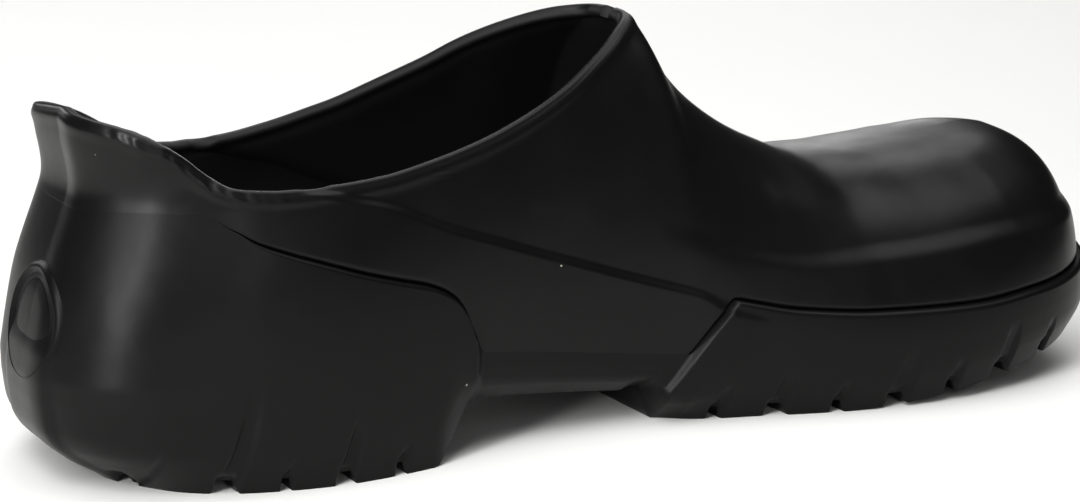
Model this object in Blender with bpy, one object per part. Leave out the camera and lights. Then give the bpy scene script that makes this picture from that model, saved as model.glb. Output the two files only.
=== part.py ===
"""Chef clog for the left foot: moulded upper, moulded outsole and loose insole.

The shoe stands on Z = 0 with its toe towards +X, the inner side of the foot towards -Y and the outer
side towards +Y. The origin is the middle of its box, on the ground. Lengths are metres.

Every surface is laid out in columns that stand around the shoe. A column starts at a point of the
spine and runs out to the side line. Its place is given by a station: a distance along the shoe from
the heel that becomes an angle where the columns fan round the heel and round the toe.
"""

import math

import bmesh
import bpy
import numpy as np
from mathutils import Matrix

# Middle of the shoe's box, measured from the heel end of the spine
MIDDLE_X = 0.1439
MIDDLE_Y = -0.0074

# Outer sizes
LENGTH = 0.2920
BALL_WIDTH = 0.1150
WAIST_WIDTH = 0.0770
HEEL_WIDTH = 0.0800
LIP_HEIGHT = 0.0885
COLLAR_LOW_HEIGHT = 0.0705
COLLAR_FRONT_HEIGHT = 0.1010
TOE_CAP_HEIGHT = 0.0675
STEP_HEIGHT = 0.0290
RIDGE_HEIGHT = 0.0420
COUNTER_HEIGHT = 0.0665

# Walls, steps and clearances
WALL = 0.0036
WALL_LOW = 0.0052
REBATE = 0.0022
GAP = 0.0003
HEEL_PROUD = 0.0014
FORE_PROUD = 0.0020
LOWER_WALL_STEP = 0.0010
RIDGE_STEP = 0.0015
RIM_ROUND = 0.0009
LIP_FLARE = 0.0085
LIP_START = 0.76
CREASE_SOFT = 0.0014
RIDGE_SOFT = 0.0030

# Sole
HEEL_SEAT = 0.0270
FORE_SEAT = 0.0160
ARCH_HEIGHT = 0.0143
SLAB_STEP = 0.0080
TOE_SPRING = 0.0175
HEEL_BREAST = 0.0865
BREAST_SLANT = 0.0100
SLAB_START = 0.1500
SLAB_SLANT = 0.0025
SPRING_POWER = 1.6
EDGE_LEAN = 0.0160
EDGE_START = 0.0080
SEAT_LIP = 0.0015
EDGE_ROUND = 0.0008
DIAGONAL_SOFT = 0.0025
BACK_FLUSH = 0.68

# Tread
GROOVE_DEPTH = 0.0030
GROOVE_WIDTH = 0.0042
NOTCH_WIDTH = 0.0024

# Heel boss
BOSS_RADIUS = 0.0135
BOSS_HEIGHT = 0.0385
BOSS_BAND = 0.0024
BOSS_PROUD = 0.0010
BOSS_ROOT = 0.0020
BOSS_STEPS = 36

# Insole
INSOLE_THICKNESS = 0.0045
HEEL_CUP = 0.0080
INSOLE_CLEARANCE = 0.0010

# Columns fan round a centre in the heel and another in the toe
HEEL_CENTRE = HEEL_WIDTH / 2
TOE_CENTRE = LENGTH - 0.38 * BALL_WIDTH
HEEL_COLUMNS = 12
SIDE_COLUMNS = 25
TOE_COLUMNS = 12
COLUMN_BREAK = 0.0015

# Share of the way to the side line over which the toe's columns take up their own height
TOE_BLEND = 0.9
CREASE_HALF = 0.0020
UPPER_ROWS = 9
TREAD_ROWS = (0.0, 0.5, 0.85)
SIDE_ROWS = (0.3, 0.65, 1.0)

# Zones along the shoe in which a feature fades in, as shares of LENGTH
TURN_FOOT = 0.60
WARP_START = 0.33
WARP_POWER = 1.6
SPRING_START = 0.67
CAP_ZONE = (0.62, 0.84)
SEAT_ZONE = (0.237, 0.591)
LOWER_WALL_ZONE = (0.14, 0.24)
RIDGE_ZONE = (0.50, 0.60)
CREASE_ZONE = (0.48, 0.56)
LIP_ZONE = (0.07, 0.14)
BACK_ZONE = (0.10, 0.14)
CUP_ZONE = (0.18, 0.40)
TURN_STATION = TURN_FOOT * LENGTH

# Side line of the wall: share of LENGTH, then inner and outer half width as shares of the zone's width
HEEL_LINE = (
    (0.0000, 0.000, 0.000),
    (0.0060, 0.150, 0.275),
    (0.0380, 0.305, 0.412),
    (0.0960, 0.424, 0.472),
    (0.1680, 0.490, 0.492),
    (0.2450, 0.512, 0.498),
)
WAIST_LINE = (
    (0.3300, 0.506, 0.506),
    (0.4200, 0.490, 0.512),
    (0.5100, 0.525, 0.545),
)
BALL_LINE = (
    (0.5900, 0.416, 0.398),
    (0.6700, 0.484, 0.420),
    (0.7500, 0.534, 0.410),
    (0.8250, 0.549, 0.360),
    (0.8950, 0.520, 0.272),
    (0.9500, 0.426, 0.150),
    (0.9840, 0.266, 0.000),
)
TOE_TIP = (0.9905, -0.120)

# Spine: share of LENGTH, then shift towards the inner side as a share of BALL_WIDTH
SPINE_LINE = (
    (0.00, 0.000),
    (0.20, 0.000),
    (0.40, 0.010),
    (0.55, 0.030),
    (0.70, 0.070),
    (0.85, 0.100),
    (1.00, 0.110),
)

# Height of the body along the spine. Behind the collar front it is the ankle that the collar cuts off
BODY_TOP = (
    (0.000, 1.250),
    (0.070, 1.180),
    (0.130, 1.060),
    (0.210, 1.000),
    (0.290, 1.030),
    (0.370, 1.075),
    (0.430, 1.075),
    (0.480, 1.045),
    (0.515, 1.017),
    (0.534, 1.000),
    (0.560, 0.875),
    (0.590, 0.778),
    (0.630, 0.690),
    (0.670, 0.628),
    (0.710, 0.580),
    (0.740, 0.573),
    (0.780, 0.576),
    (0.820, 0.582),
    (0.860, 0.592),
    (0.900, 0.606),
    (0.940, 0.626),
    (1.000, 0.655),
)

# Squareness of the body's cross sections: 2 is an ellipse
BODY_SQUARE = (
    (0.00, 2.20),
    (0.50, 2.20),
    (0.60, 2.15),
    (0.70, 2.20),
    (0.80, 2.50),
    (0.87, 2.70),
    (0.93, 3.05),
    (1.00, 3.10),
)

# Collar: station as a share of LENGTH, then height as a share of the way from the low point to the lip
COLLAR_BACK = (
    (0.000, 1.00),
    (0.025, 0.95),
    (0.062, 0.83),
    (0.086, 0.66),
    (0.103, 0.47),
    (0.118, 0.25),
    (0.137, 0.06),
    (0.171, 0.00),
)
# The same from the low point to the collar front, on the inner side and on the outer side
COLLAR_SIDE = (
    (0.171, 0.00, 0.00),
    (0.212, 0.00, 0.02),
    (0.257, 0.02, 0.09),
    (0.308, 0.09, 0.22),
    (0.360, 0.20, 0.40),
    (0.404, 0.34, 0.57),
    (0.445, 0.52, 0.74),
    (0.486, 0.75, 0.89),
    (0.514, 0.91, 0.97),
    (0.534, 1.00, 1.00),
)

# Top edge of the heel block: share of the block's length, then share of COUNTER_HEIGHT
HEEL_BLOCK_EDGE = (
    (0.000, 0.985),
    (0.345, 1.000),
    (0.400, 0.940),
    (0.452, 0.887),
    (0.526, 0.842),
    (0.612, 0.797),
    (0.716, 0.744),
    (0.800, 0.707),
    (0.885, 0.669),
    (0.947, 0.617),
    (0.978, 0.556),
    (1.000, 0.466),
)

# Top edge of the forefoot block: share of the block's length, then share of STEP_HEIGHT
FORE_BLOCK_EDGE = (
    (0.000, 1.150),
    (0.090, 1.110),
    (0.241, 0.960),
    (0.386, 0.900),
    (0.559, 0.890),
    (0.710, 0.940),
    (0.848, 1.060),
    (1.000, 1.140),
)

# Soft ridge round the toe cap, as a share of RIDGE_HEIGHT
TOE_RIDGE = (
    (0.500, 1.220),
    (0.575, 1.036),
    (0.651, 0.935),
    (0.726, 0.950),
    (0.818, 1.000),
    (0.911, 1.036),
    (1.000, 1.070),
)

# Top edge of the lower wall between collar and forefoot, as a share of COLLAR_LOW_HEIGHT
LOWER_WALL_EDGE = (
    (0.150, 1.040),
    (0.202, 0.979),
    (0.264, 0.908),
    (0.308, 0.823),
    (0.353, 0.752),
    (0.390, 0.695),
    (0.428, 0.638),
    (0.466, 0.582),
    (0.507, 0.525),
    (0.548, 0.468),
)

# Lean of the wall towards the spine, as a share of height over the seat
WALL_LEAN = (
    (0.000, 0.205),
    (0.060, 0.160),
    (0.110, 0.060),
    (0.160, 0.030),
    (0.240, 0.010),
    (1.000, 0.000),
)

# Inset of the sole's bottom edge: share of LENGTH, then share of EDGE_INSET
EDGE_INSET = 0.0080
EDGE_INSET_LINE = (
    (0.000, 2.150),
    (0.060, 1.650),
    (0.110, 0.820),
    (0.160, 0.480),
    (0.220, 0.280),
    (0.290, 0.250),
    (0.330, 0.500),
    (0.480, 0.750),
    (0.503, 1.375),
    (0.548, 0.750),
    (0.613, 0.500),
    (0.726, 0.380),
    (0.856, 0.440),
    (1.000, 0.620),
)

# Side of the sole: share of EDGE_RISE above the bottom edge, then share of the inset
EDGE_RISE = 0.0220
EDGE_PROFILE = (
    (0.00, 1.00),
    (0.10, 0.84),
    (0.30, 0.48),
    (0.60, 0.02),
    (1.00, 0.00),
)

# Side flutes: foot as a share of LENGTH, height as a share of EDGE_RISE, and whether it is a wide one
HEEL_FLUTES = (
    (0.062, 0.85, False),
    (0.120, 1.20, True),
    (0.164, 0.45, False),
    (0.212, 0.75, True),
    (0.260, 0.35, False),
)
FORE_FLUTES = (
    (0.560, 0.55, False),
    (0.612, 0.80, True),
    (0.664, 0.45, False),
    (0.716, 0.75, True),
    (0.768, 0.45, False),
    (0.820, 0.70, True),
    (0.872, 0.50, False),
)
FLUTE_LEAN = 0.22
FLUTE_DEPTH = 0.0011
FLUTE_RUNOUT = 0.0004
FLUTE_REACH = 0.0040
FLUTE_TAPER = 0.5
FLUTE_LEVELS = (0.0, 0.35, 0.70, 1.0)

# Insole across: share of the way from the rim to the spine, then share of the heel cup's height
CUP_PROFILE = (
    (0.06, 1.00),
    (0.16, 0.55),
    (0.34, 0.12),
    (1.00, 0.00),
)

COLOURS = {
    "upper": (0.012, 0.012, 0.013, 1.0),
    "outsole": (0.010, 0.010, 0.011, 1.0),
    "insole": (0.030, 0.030, 0.032, 1.0),
}
ROUGHNESS = {"upper": 0.34, "outsole": 0.42, "insole": 0.85}


def smooth(edge_low, edge_high, value):
    """Soft step from 0 to 1 between two values."""
    share = np.clip((value - edge_low) / (edge_high - edge_low), 0.0, 1.0)
    return share * share * (3.0 - 2.0 * share)


def fade(zone, station):
    """Soft step from 0 to 1 through a zone along the shoe."""
    return smooth(zone[0] * LENGTH, zone[1] * LENGTH, station)


def read_table(table, place, unit=LENGTH, column=1):
    """Value of a table at a place, on a curve with continuous slope that doesn't overshoot."""
    xs = np.array([row[0] for row in table]) * unit
    ys = np.array([row[column] for row in table], dtype=float)
    run = np.diff(xs)
    slope = np.diff(ys) / run
    product = slope[:-1] * slope[1:]
    total = slope[:-1] + slope[1:]
    inner = np.where(product > 0, 2 * product / np.where(product > 0, total, 1.0), 0.0)
    tangent = np.concatenate([slope[:1], inner, slope[-1:]])
    place = np.clip(place, xs[0], xs[-1])
    i = np.clip(np.searchsorted(xs, place, side="right") - 1, 0, len(run) - 1)
    t = (place - xs[i]) / run[i]
    h = run[i]
    start = (1 + 2 * t) * (1 - t) ** 2 * ys[i] + t * (1 - t) ** 2 * h * tangent[i]
    return start + t * t * (3 - 2 * t) * ys[i + 1] + t * t * (t - 1) * h * tangent[i + 1]


def closed_curve(points, count):
    """Points along a closed cubic spline with continuous curvature that passes through the given points."""
    size = len(points)
    weights = np.zeros((size, size))
    for i in range(size):
        weights[i, i] = 4.0 / 6.0
        weights[i, (i - 1) % size] = weights[i, (i + 1) % size] = 1.0 / 6.0
    control = np.linalg.solve(weights, np.array(points))
    along = np.linspace(0.0, size, count, endpoint=False)
    i = along.astype(int)
    t = (along - i)[:, None]
    before, here, after, beyond = (control[(i + step) % size] for step in (-1, 0, 1, 2))
    blend = (1 - t) ** 3 * before + (3 * t ** 3 - 6 * t ** 2 + 4) * here
    return (blend + (-3 * t ** 3 + 3 * t ** 2 + 3 * t + 1) * after + t ** 3 * beyond) / 6.0


def side_line():
    """The wall's outline seen from above, as a dense closed loop from the heel along the outer side."""
    zones = ((HEEL_LINE, HEEL_WIDTH), (WAIST_LINE, WAIST_WIDTH), (BALL_LINE, BALL_WIDTH))
    rows = [(along, inner * width, outer * width) for line, width in zones for along, inner, outer in line]
    outer_side = [(along * LENGTH, outer) for along, inner, outer in rows]
    tip = [(TOE_TIP[0] * LENGTH, TOE_TIP[1] * BALL_WIDTH)]
    inner_side = [(along * LENGTH, -inner) for along, inner, outer in reversed(rows[1:])]
    return closed_curve(outer_side + tip + inner_side, 1600)


def spine_shift(along):
    """Y of the spine at a distance along the shoe."""
    return -read_table(SPINE_LINE, along) * BALL_WIDTH


def column_axis(station):
    """Where a column starts: on the spine, or at the centre of the heel's or toe's fan."""
    along = np.clip(station, HEEL_CENTRE, TOE_CENTRE)
    return along, spine_shift(along)


def column_direction(side, station):
    """Direction of a column seen from above."""
    heel_turn = np.clip(1.0 - station / HEEL_CENTRE, 0.0, 1.0)
    toe_turn = np.clip((station - TOE_CENTRE) / (LENGTH - TOE_CENTRE), 0.0, 1.0)
    turn = (toe_turn - heel_turn) * math.pi / 2
    return np.sin(turn), side * np.cos(turn)


def measure_reach():
    """For each side, stations and the distance from the spine to the side line at each of them."""
    loop = side_line()
    reach = {}
    for side in (1, -1):
        along, across = loop[:, 0], loop[:, 1]
        centre_x = np.clip(along, HEEL_CENTRE, TOE_CENTRE)
        off_x = along - centre_x
        off_y = across - spine_shift(centre_x)
        angle = np.arctan2(off_x, side * off_y)
        turn = angle / (math.pi / 2)
        heel = HEEL_CENTRE * (1.0 + np.minimum(turn, 0.0))
        toe = TOE_CENTRE + (LENGTH - TOE_CENTRE) * np.maximum(turn, 0.0)
        station = np.where(off_x < 0, heel, np.where(off_x > 0, toe, along))
        keep = side * off_y > -0.004
        order = np.argsort(station[keep])
        reach[side] = (station[keep][order], np.hypot(off_x, off_y)[keep][order])
    return reach


REACH = measure_reach()
TO_MIDDLE = Matrix.Translation((-MIDDLE_X, -MIDDLE_Y, 0.0))


def seat_height(station):
    """Top of the sole under the foot."""
    return HEEL_SEAT + (FORE_SEAT - HEEL_SEAT) * fade(SEAT_ZONE, station)


def bottom_height(along):
    """Underside of the sole: heel, breast, arch, rear of the forefoot block and toe spring."""
    breast = ARCH_HEIGHT * np.clip((along - HEEL_BREAST) / BREAST_SLANT, 0.0, 1.0)
    arch_end = SLAB_START - SLAB_SLANT
    arch_start = HEEL_BREAST + BREAST_SLANT
    share = np.clip((along - arch_start) / (arch_end - arch_start), 0.0, 1.0)
    arch = breast + (SLAB_STEP - ARCH_HEIGHT) * share
    slab = arch * (1.0 - np.clip((along - arch_end) / SLAB_SLANT, 0.0, 1.0))
    spring_start = SPRING_START * LENGTH
    spring = np.clip((along - spring_start) / (LENGTH - spring_start), 0.0, 1.0)
    return slab + TOE_SPRING * spring ** SPRING_POWER


def body_top(station):
    """Height of the body along the spine."""
    top = read_table(BODY_TOP, station) * COLLAR_FRONT_HEIGHT
    return top + fade(CAP_ZONE, station) * (TOE_CAP_HEIGHT - BODY_TOP[-1][1] * COLLAR_FRONT_HEIGHT)


def rim_height(side, station):
    """Height of the collar's edge."""
    lip = COLLAR_LOW_HEIGHT + (LIP_HEIGHT - COLLAR_LOW_HEIGHT) * read_table(COLLAR_BACK, station)
    rise = COLLAR_FRONT_HEIGHT - COLLAR_LOW_HEIGHT
    ahead = COLLAR_LOW_HEIGHT + rise * read_table(COLLAR_SIDE, station, LENGTH, 1 if side < 0 else 2)
    return np.where(station < COLLAR_BACK[-1][0] * LENGTH, lip, ahead)


def block_height(station):
    """Top edge of the outsole where it wraps up the wall."""
    seat = seat_height(station) + SEAT_LIP
    heel_front = HEEL_BREAST + BREAST_SLANT
    heel = read_table(HEEL_BLOCK_EDGE, station, heel_front) * COUNTER_HEIGHT
    heel = np.where(station > heel_front + 0.0001, seat, heel)
    fore = read_table(FORE_BLOCK_EDGE, station - SLAB_START, LENGTH - SLAB_START) * STEP_HEIGHT
    rise = smooth(SLAB_START + EDGE_START, SLAB_START + EDGE_LEAN, station)
    return np.maximum(np.maximum(heel, seat), seat + (fore - seat) * rise)


def height_to_turn(station, height):
    """Angle round a cross section at which its wall reaches a height."""
    base = seat_height(station)
    share = np.clip((height - base) / (body_top(station) - base), 0.0, 1.0)
    return np.arcsin(share ** (read_table(BODY_SQUARE, station) / 2.0))


def wall_inset(station, height):
    """How far the wall lies inside the side line: soft steps at the lower wall and the toe cap ridge."""
    edge = read_table(LOWER_WALL_EDGE, station) * COLLAR_LOW_HEIGHT
    last = LOWER_WALL_EDGE[-1][0] * LENGTH
    above = smooth(edge - CREASE_SOFT, edge + CREASE_SOFT, height)
    inset = LOWER_WALL_STEP * fade(LOWER_WALL_ZONE, station) * np.where(station > last, 1.0, above)
    ridge = read_table(TOE_RIDGE, station) * RIDGE_HEIGHT
    above = smooth(ridge - RIDGE_SOFT, ridge + RIDGE_SOFT, height)
    return inset + RIDGE_STEP * fade(RIDGE_ZONE, station) * above


def body_point(side, station, turn, inset=0.0):
    """Point of the body's surface at an angle up its cross section."""
    base = seat_height(station)
    power = 2.0 / read_table(BODY_SQUARE, station)
    reach = np.interp(station, *REACH[side])
    share = np.maximum(np.cos(turn), 0.0) ** power
    middle = body_top(np.minimum(station, TOE_CENTRE))
    top = middle + (body_top(station) - middle) * smooth(0.0, TOE_BLEND, share)
    height = base + (top - base) * np.sin(turn) ** power
    lean = read_table(WALL_LEAN, station) * (height - base)
    flare = LIP_FLARE * (1.0 - fade(LIP_ZONE, station)) * smooth(LIP_START * LIP_HEIGHT, LIP_HEIGHT, height)
    moved = (flare - lean - wall_inset(station, height) - inset) * (1.0 - (1.0 - share) ** 3)
    distance = np.maximum(reach * share + moved, 0.0)
    axis_x, axis_y = column_axis(station)
    way_x, way_y = column_direction(side, station)
    return np.stack([axis_x + way_x * distance, axis_y + way_y * distance, height], axis=-1)


def low_wall(side, station, height, inset=0.0):
    """Point of the wall between sole and block edge, at a height."""
    return body_point(side, station, height_to_turn(station, height), inset)


def base_stations():
    """Stations of the columns from heel to toe, with one at each break of the sole and collar."""
    heel = np.linspace(0.0, HEEL_CENTRE, HEEL_COLUMNS, endpoint=False)
    toe = np.linspace(TOE_CENTRE, LENGTH, TOE_COLUMNS)
    block_front = HEEL_BREAST + BREAST_SLANT
    breaks = [HEEL_BREAST, block_front, block_front + COLUMN_BREAK]
    breaks += [SLAB_START - SLAB_SLANT, SLAB_START, TURN_STATION]
    side = np.linspace(HEEL_CENTRE, TOE_CENTRE, SIDE_COLUMNS, endpoint=False)
    clear = [s for s in side if min(abs(s - b) for b in breaks) > 1.5 * COLUMN_BREAK]
    return np.sort(np.concatenate([heel, clear, breaks, toe]))


def top_stations(stations):
    """Station at which each column ends, closer together where the collar turns round its front."""
    front = COLLAR_SIDE[-1][0] * LENGTH
    start = WARP_START * LENGTH
    share = np.clip((stations - start) / (TURN_STATION - start), 0.0, 1.0)
    rim = front - (front - start) * (1.0 - share) ** WARP_POWER
    spine = front + (TOE_CENTRE - front) * (stations - TURN_STATION) / (TOE_CENTRE - TURN_STATION)
    ahead = np.where(stations <= TURN_STATION, rim, np.where(stations > TOE_CENTRE, stations, spine))
    return np.where(stations < start, stations, ahead)


def crease_height(station):
    """Height of the lower wall's edge, which the ridge round the toe cap takes over."""
    edge = read_table(LOWER_WALL_EDGE, station) * COLLAR_LOW_HEIGHT
    ridge = read_table(TOE_RIDGE, station) * RIDGE_HEIGHT
    return edge + (ridge - edge) * fade(CREASE_ZONE, station)


def unit(vectors):
    """Vectors scaled to length 1."""
    return vectors / np.maximum(np.linalg.norm(vectors, axis=-1, keepdims=True), 1e-12)


def body_normal(side, station, turn):
    """Outward direction of the body's surface."""
    step = 0.0004
    along = body_point(side, station + step, turn) - body_point(side, station - step, turn)
    low = np.maximum(turn - 0.02, 0.0)
    up = body_point(side, station, low + 0.02) - body_point(side, station, low)
    return unit(np.cross(up, along) * side)


def upper_rows(side, stations):
    """Corners of the upper's columns on one side: outer rows from the foot up, and inner rows beside them."""
    tops = top_stations(stations)
    edge = block_height(stations) + GAP / 2
    foot = seat_height(stations) + GAP
    rim_turn = height_to_turn(tops, rim_height(side, tops))
    spine = stations >= TURN_STATION
    rim_turn = np.where(spine, math.pi / 2, rim_turn)
    edge_turn = height_to_turn(stations, edge)
    crease = crease_height(stations)
    low = np.clip(height_to_turn(stations, crease - CREASE_HALF), edge_turn + 0.02, rim_turn - 0.06)
    high = np.clip(height_to_turn(stations, crease + CREASE_HALF), low + 0.02, rim_turn - 0.04)
    levels = [(stations, edge_turn), (stations, low), (stations, high)]
    for share in np.linspace(0.0, 1.0, UPPER_ROWS + 1)[1:]:
        levels.append((stations + (tops - stations) * share, high + (rim_turn - high) * share))
    outer = [low_wall(side, stations, foot, REBATE), low_wall(side, stations, edge, REBATE)]
    inner = [low_wall(side, stations, foot, WALL_LOW), low_wall(side, stations, edge, WALL_LOW)]
    for number, (place, turn) in enumerate(levels):
        point = body_point(side, place, turn)
        normal = body_normal(side, place, turn)
        if number == len(levels) - 1:
            normal[spine] = spine_normal(place[spine])
        thin = smooth(0.0, 0.010, point[:, 2] - edge)[:, None]
        outer.append(point)
        if number:
            inner.append(point - normal * (WALL_LOW + (WALL - WALL_LOW) * thin))
    return np.stack(outer, axis=1), np.stack(inner, axis=1), normal


def spine_normal(station):
    """Upward direction of the body along its spine."""
    station = np.minimum(station, TOE_CENTRE)
    step = 0.0005
    slope = (body_top(station + step) - body_top(station - step)) / (2 * step)
    return unit(np.stack([-slope, np.zeros_like(slope), np.ones_like(slope)], axis=-1))


def both_sides(maker, stations):
    """Columns once round the shoe, from the heel along the outer side and back along the inner side."""
    outer = maker(1, stations)
    inner = maker(-1, stations[1:-1])
    return [np.concatenate([a, b[::-1]]) for a, b in zip(outer, inner)]


def make_upper(collection):
    """Hollow shell, open at the collar and underneath."""
    stations = base_stations()
    outer, inner, normal = both_sides(upper_rows, stations)
    around = np.concatenate([stations, stations[1:-1][::-1]])
    count = len(around)
    rim = around <= TURN_STATION
    ring = np.flatnonzero(rim)
    first_inner = ring[np.searchsorted(ring, len(stations))]
    order = np.concatenate([ring[ring >= first_inner], ring[ring < first_inner]])
    edge = outer[order, -1]
    along = unit(np.roll(edge, -1, axis=0) - np.roll(edge, 1, axis=0))
    along[[0, -1]] = (0.0, 1.0, 0.0)
    face = normal[order]
    up = np.cross(along, face)
    top = edge.copy()
    thick = np.linalg.norm(outer[order, -1] - inner[order, -1], axis=-1)[:, None]
    outer[order, -1] = top - up * RIM_ROUND
    inner[order, -1] = top - up * RIM_ROUND - face * thick
    rim_outer = np.zeros((count, 3))
    rim_inner = np.zeros((count, 3))
    rim_outer[order] = top - face * RIM_ROUND
    rim_inner[order] = top - face * (thick - RIM_ROUND)
    chain = np.concatenate([outer[:, ::-1], inner], axis=1)
    rows = chain.shape[1]
    corners = np.concatenate([chain, rim_inner[:, None], rim_outer[:, None]], axis=1)
    total = rows + 2
    faces = []
    for i in range(count):
        j = (i + 1) % count
        span = total if rim[i] and rim[j] else rows - 1
        for row in range(span):
            up_row = (row + 1) % total
            faces.append((i * total + row, i * total + up_row, j * total + up_row, j * total + row))
    used = sorted({index for quad in faces for index in quad})
    renumber = {old: new for new, old in enumerate(used)}
    flat = corners.reshape(-1, 3)[used]
    mesh = close_mesh("upper", flat, [[renumber[index] for index in quad] for quad in faces])
    return new_object("upper", mesh, collection)


def sole_outset(station, height):
    """How far the sole's side stands proud of the wall above it."""
    block_front = HEEL_BREAST + BREAST_SLANT
    heel = 1.0 - smooth(block_front, block_front + COLUMN_BREAK, station)
    back = 1.0 - fade(BACK_ZONE, station)
    heel = heel * (1.0 - back * smooth(BACK_FLUSH * COUNTER_HEIGHT, COUNTER_HEIGHT, height))
    start = SLAB_START - DIAGONAL_SOFT + EDGE_LEAN * (height - SLAB_STEP) / (STEP_HEIGHT - SLAB_STEP)
    return HEEL_PROUD * heel + FORE_PROUD * smooth(start, start + DIAGONAL_SOFT, station)


def sole_point(side, station, height, inset=0.0):
    """Point of the sole's side at a height, also below the seat."""
    seat = seat_height(station)
    point = low_wall(side, station, np.maximum(height, seat), inset - sole_outset(station, height))
    return np.concatenate([point[..., :2], np.broadcast_to(height, station.shape)[..., None]], axis=-1)


def sole_rows(side, stations):
    """Corners of the outsole's columns on one side, from the tread's middle round to the seat's middle."""
    seat = seat_height(stations)
    edge = block_height(stations) - GAP / 2
    inset = read_table(EDGE_INSET_LINE, stations) * EDGE_INSET
    axis = np.stack(column_axis(stations), axis=-1)
    tread = sole_point(side, stations, seat, inset)[:, :2]
    rows = []
    for share in TREAD_ROWS:
        flat = axis + (tread - axis) * share
        rows.append(np.concatenate([flat, bottom_height(flat[:, 0])[:, None]], axis=-1))
    low = bottom_height(tread[:, 0])
    rise = np.minimum(EDGE_RISE, 0.7 * (edge - low))
    for height, share in EDGE_PROFILE:
        rows.append(sole_point(side, stations, low + rise * height, inset * share))
    start = low + rise
    for share in SIDE_ROWS:
        rows.append(sole_point(side, stations, start + (edge - EDGE_ROUND - start) * share))
    rows.append(sole_point(side, stations, edge, EDGE_ROUND))
    lining = REBATE - GAP
    rows.append(low_wall(side, stations, edge, lining))
    rows.append(low_wall(side, stations, (edge + seat) / 2, lining))
    rows.append(low_wall(side, stations, seat, lining))
    rows.append(np.concatenate([axis, seat[:, None]], axis=-1))
    return (np.stack(rows, axis=1),)


def solid_of_columns(name, columns):
    """Closed solid from columns whose first and last rows lie on the spine."""
    count, rows = columns.shape[:2]
    faces = []
    for i in range(count):
        j = (i + 1) % count
        for row in range(rows - 1):
            faces.append((i * rows + row, j * rows + row, j * rows + row + 1, i * rows + row + 1))
    return close_mesh(name, columns.reshape(-1, 3), faces)


def make_outsole(collection, cutters):
    """Outsole: heel block, waist and forefoot block, with a wall that wraps up round the upper."""
    (columns,) = both_sides(sole_rows, base_stations())
    outsole = new_object("outsole", solid_of_columns("outsole", columns), collection)
    for tool, action in ((make_boss(cutters), "UNION"), (make_grooves(cutters), "DIFFERENCE"),
                         (make_flutes(cutters), "DIFFERENCE")):
        cut = outsole.modifiers.new(tool.name, "BOOLEAN")
        cut.operation = action
        cut.object = tool
        cut.solver = "EXACT"
    return outsole


def helper(name, mesh, collection):
    """Object that only shapes another one."""
    mesh.transform(TO_MIDDLE)
    thing = bpy.data.objects.new(name, mesh)
    thing.hide_render = True
    thing.display_type = "WIRE"
    collection.objects.link(thing)
    return thing


def heel_back(across, height):
    """X of the sole's back at a distance from the middle and a height."""
    stations = np.linspace(0.0, HEEL_CENTRE, 60)
    side = 1 if across >= 0 else -1
    line = sole_point(side, stations, np.full(60, height))
    return np.interp(abs(across), side * line[:, 1], line[:, 0])


def make_boss(collection):
    """Raised ring on the back of the heel."""
    steps = BOSS_STEPS
    foot = BOSS_BAND / 2
    crest = BOSS_BAND / 3
    profile = ((-foot, BOSS_ROOT), (-crest, -BOSS_PROUD), (crest, -BOSS_PROUD), (foot, BOSS_ROOT))
    corners = []
    for number in range(steps):
        angle = 2 * math.pi * number / steps
        for offset, depth in profile:
            radius = BOSS_RADIUS + offset
            across = radius * math.cos(angle)
            height = BOSS_HEIGHT + radius * math.sin(angle)
            corners.append((heel_back(across, height) + depth, across, height))
    faces = []
    for i in range(steps):
        j = (i + 1) % steps
        for row in range(4):
            up = (row + 1) % 4
            faces.append((i * 4 + row, j * 4 + row, j * 4 + up, i * 4 + up))
    return helper("boss_ring", close_mesh("boss_ring", corners, faces), collection)


def make_grooves(collection):
    """Grooves that run across the tread from one side notch to the other."""
    shape = bmesh.new()
    for foot, rise, wide in HEEL_FLUTES + FORE_FLUTES:
        along = foot * LENGTH
        width = GROOVE_WIDTH if wide else NOTCH_WIDTH
        top = float(bottom_height(along)) + GROOVE_DEPTH
        made = bmesh.ops.create_cube(shape, size=1.0)["verts"]
        bmesh.ops.scale(shape, vec=(width, 2 * BALL_WIDTH, 2 * top), verts=made)
        bmesh.ops.translate(shape, vec=(along, 0.0, 0.0), verts=made)
    mesh = bpy.data.meshes.new("grooves")
    shape.to_mesh(mesh)
    shape.free()
    return helper("grooves", mesh, collection)


def station_at(side, along, height):
    """Station of the column whose sole side lies at a distance along the shoe, at a height."""
    tries = np.linspace(0.0, LENGTH, 400)
    return np.interp([along], sole_point(side, tries, height)[:, 0], tries)


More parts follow.
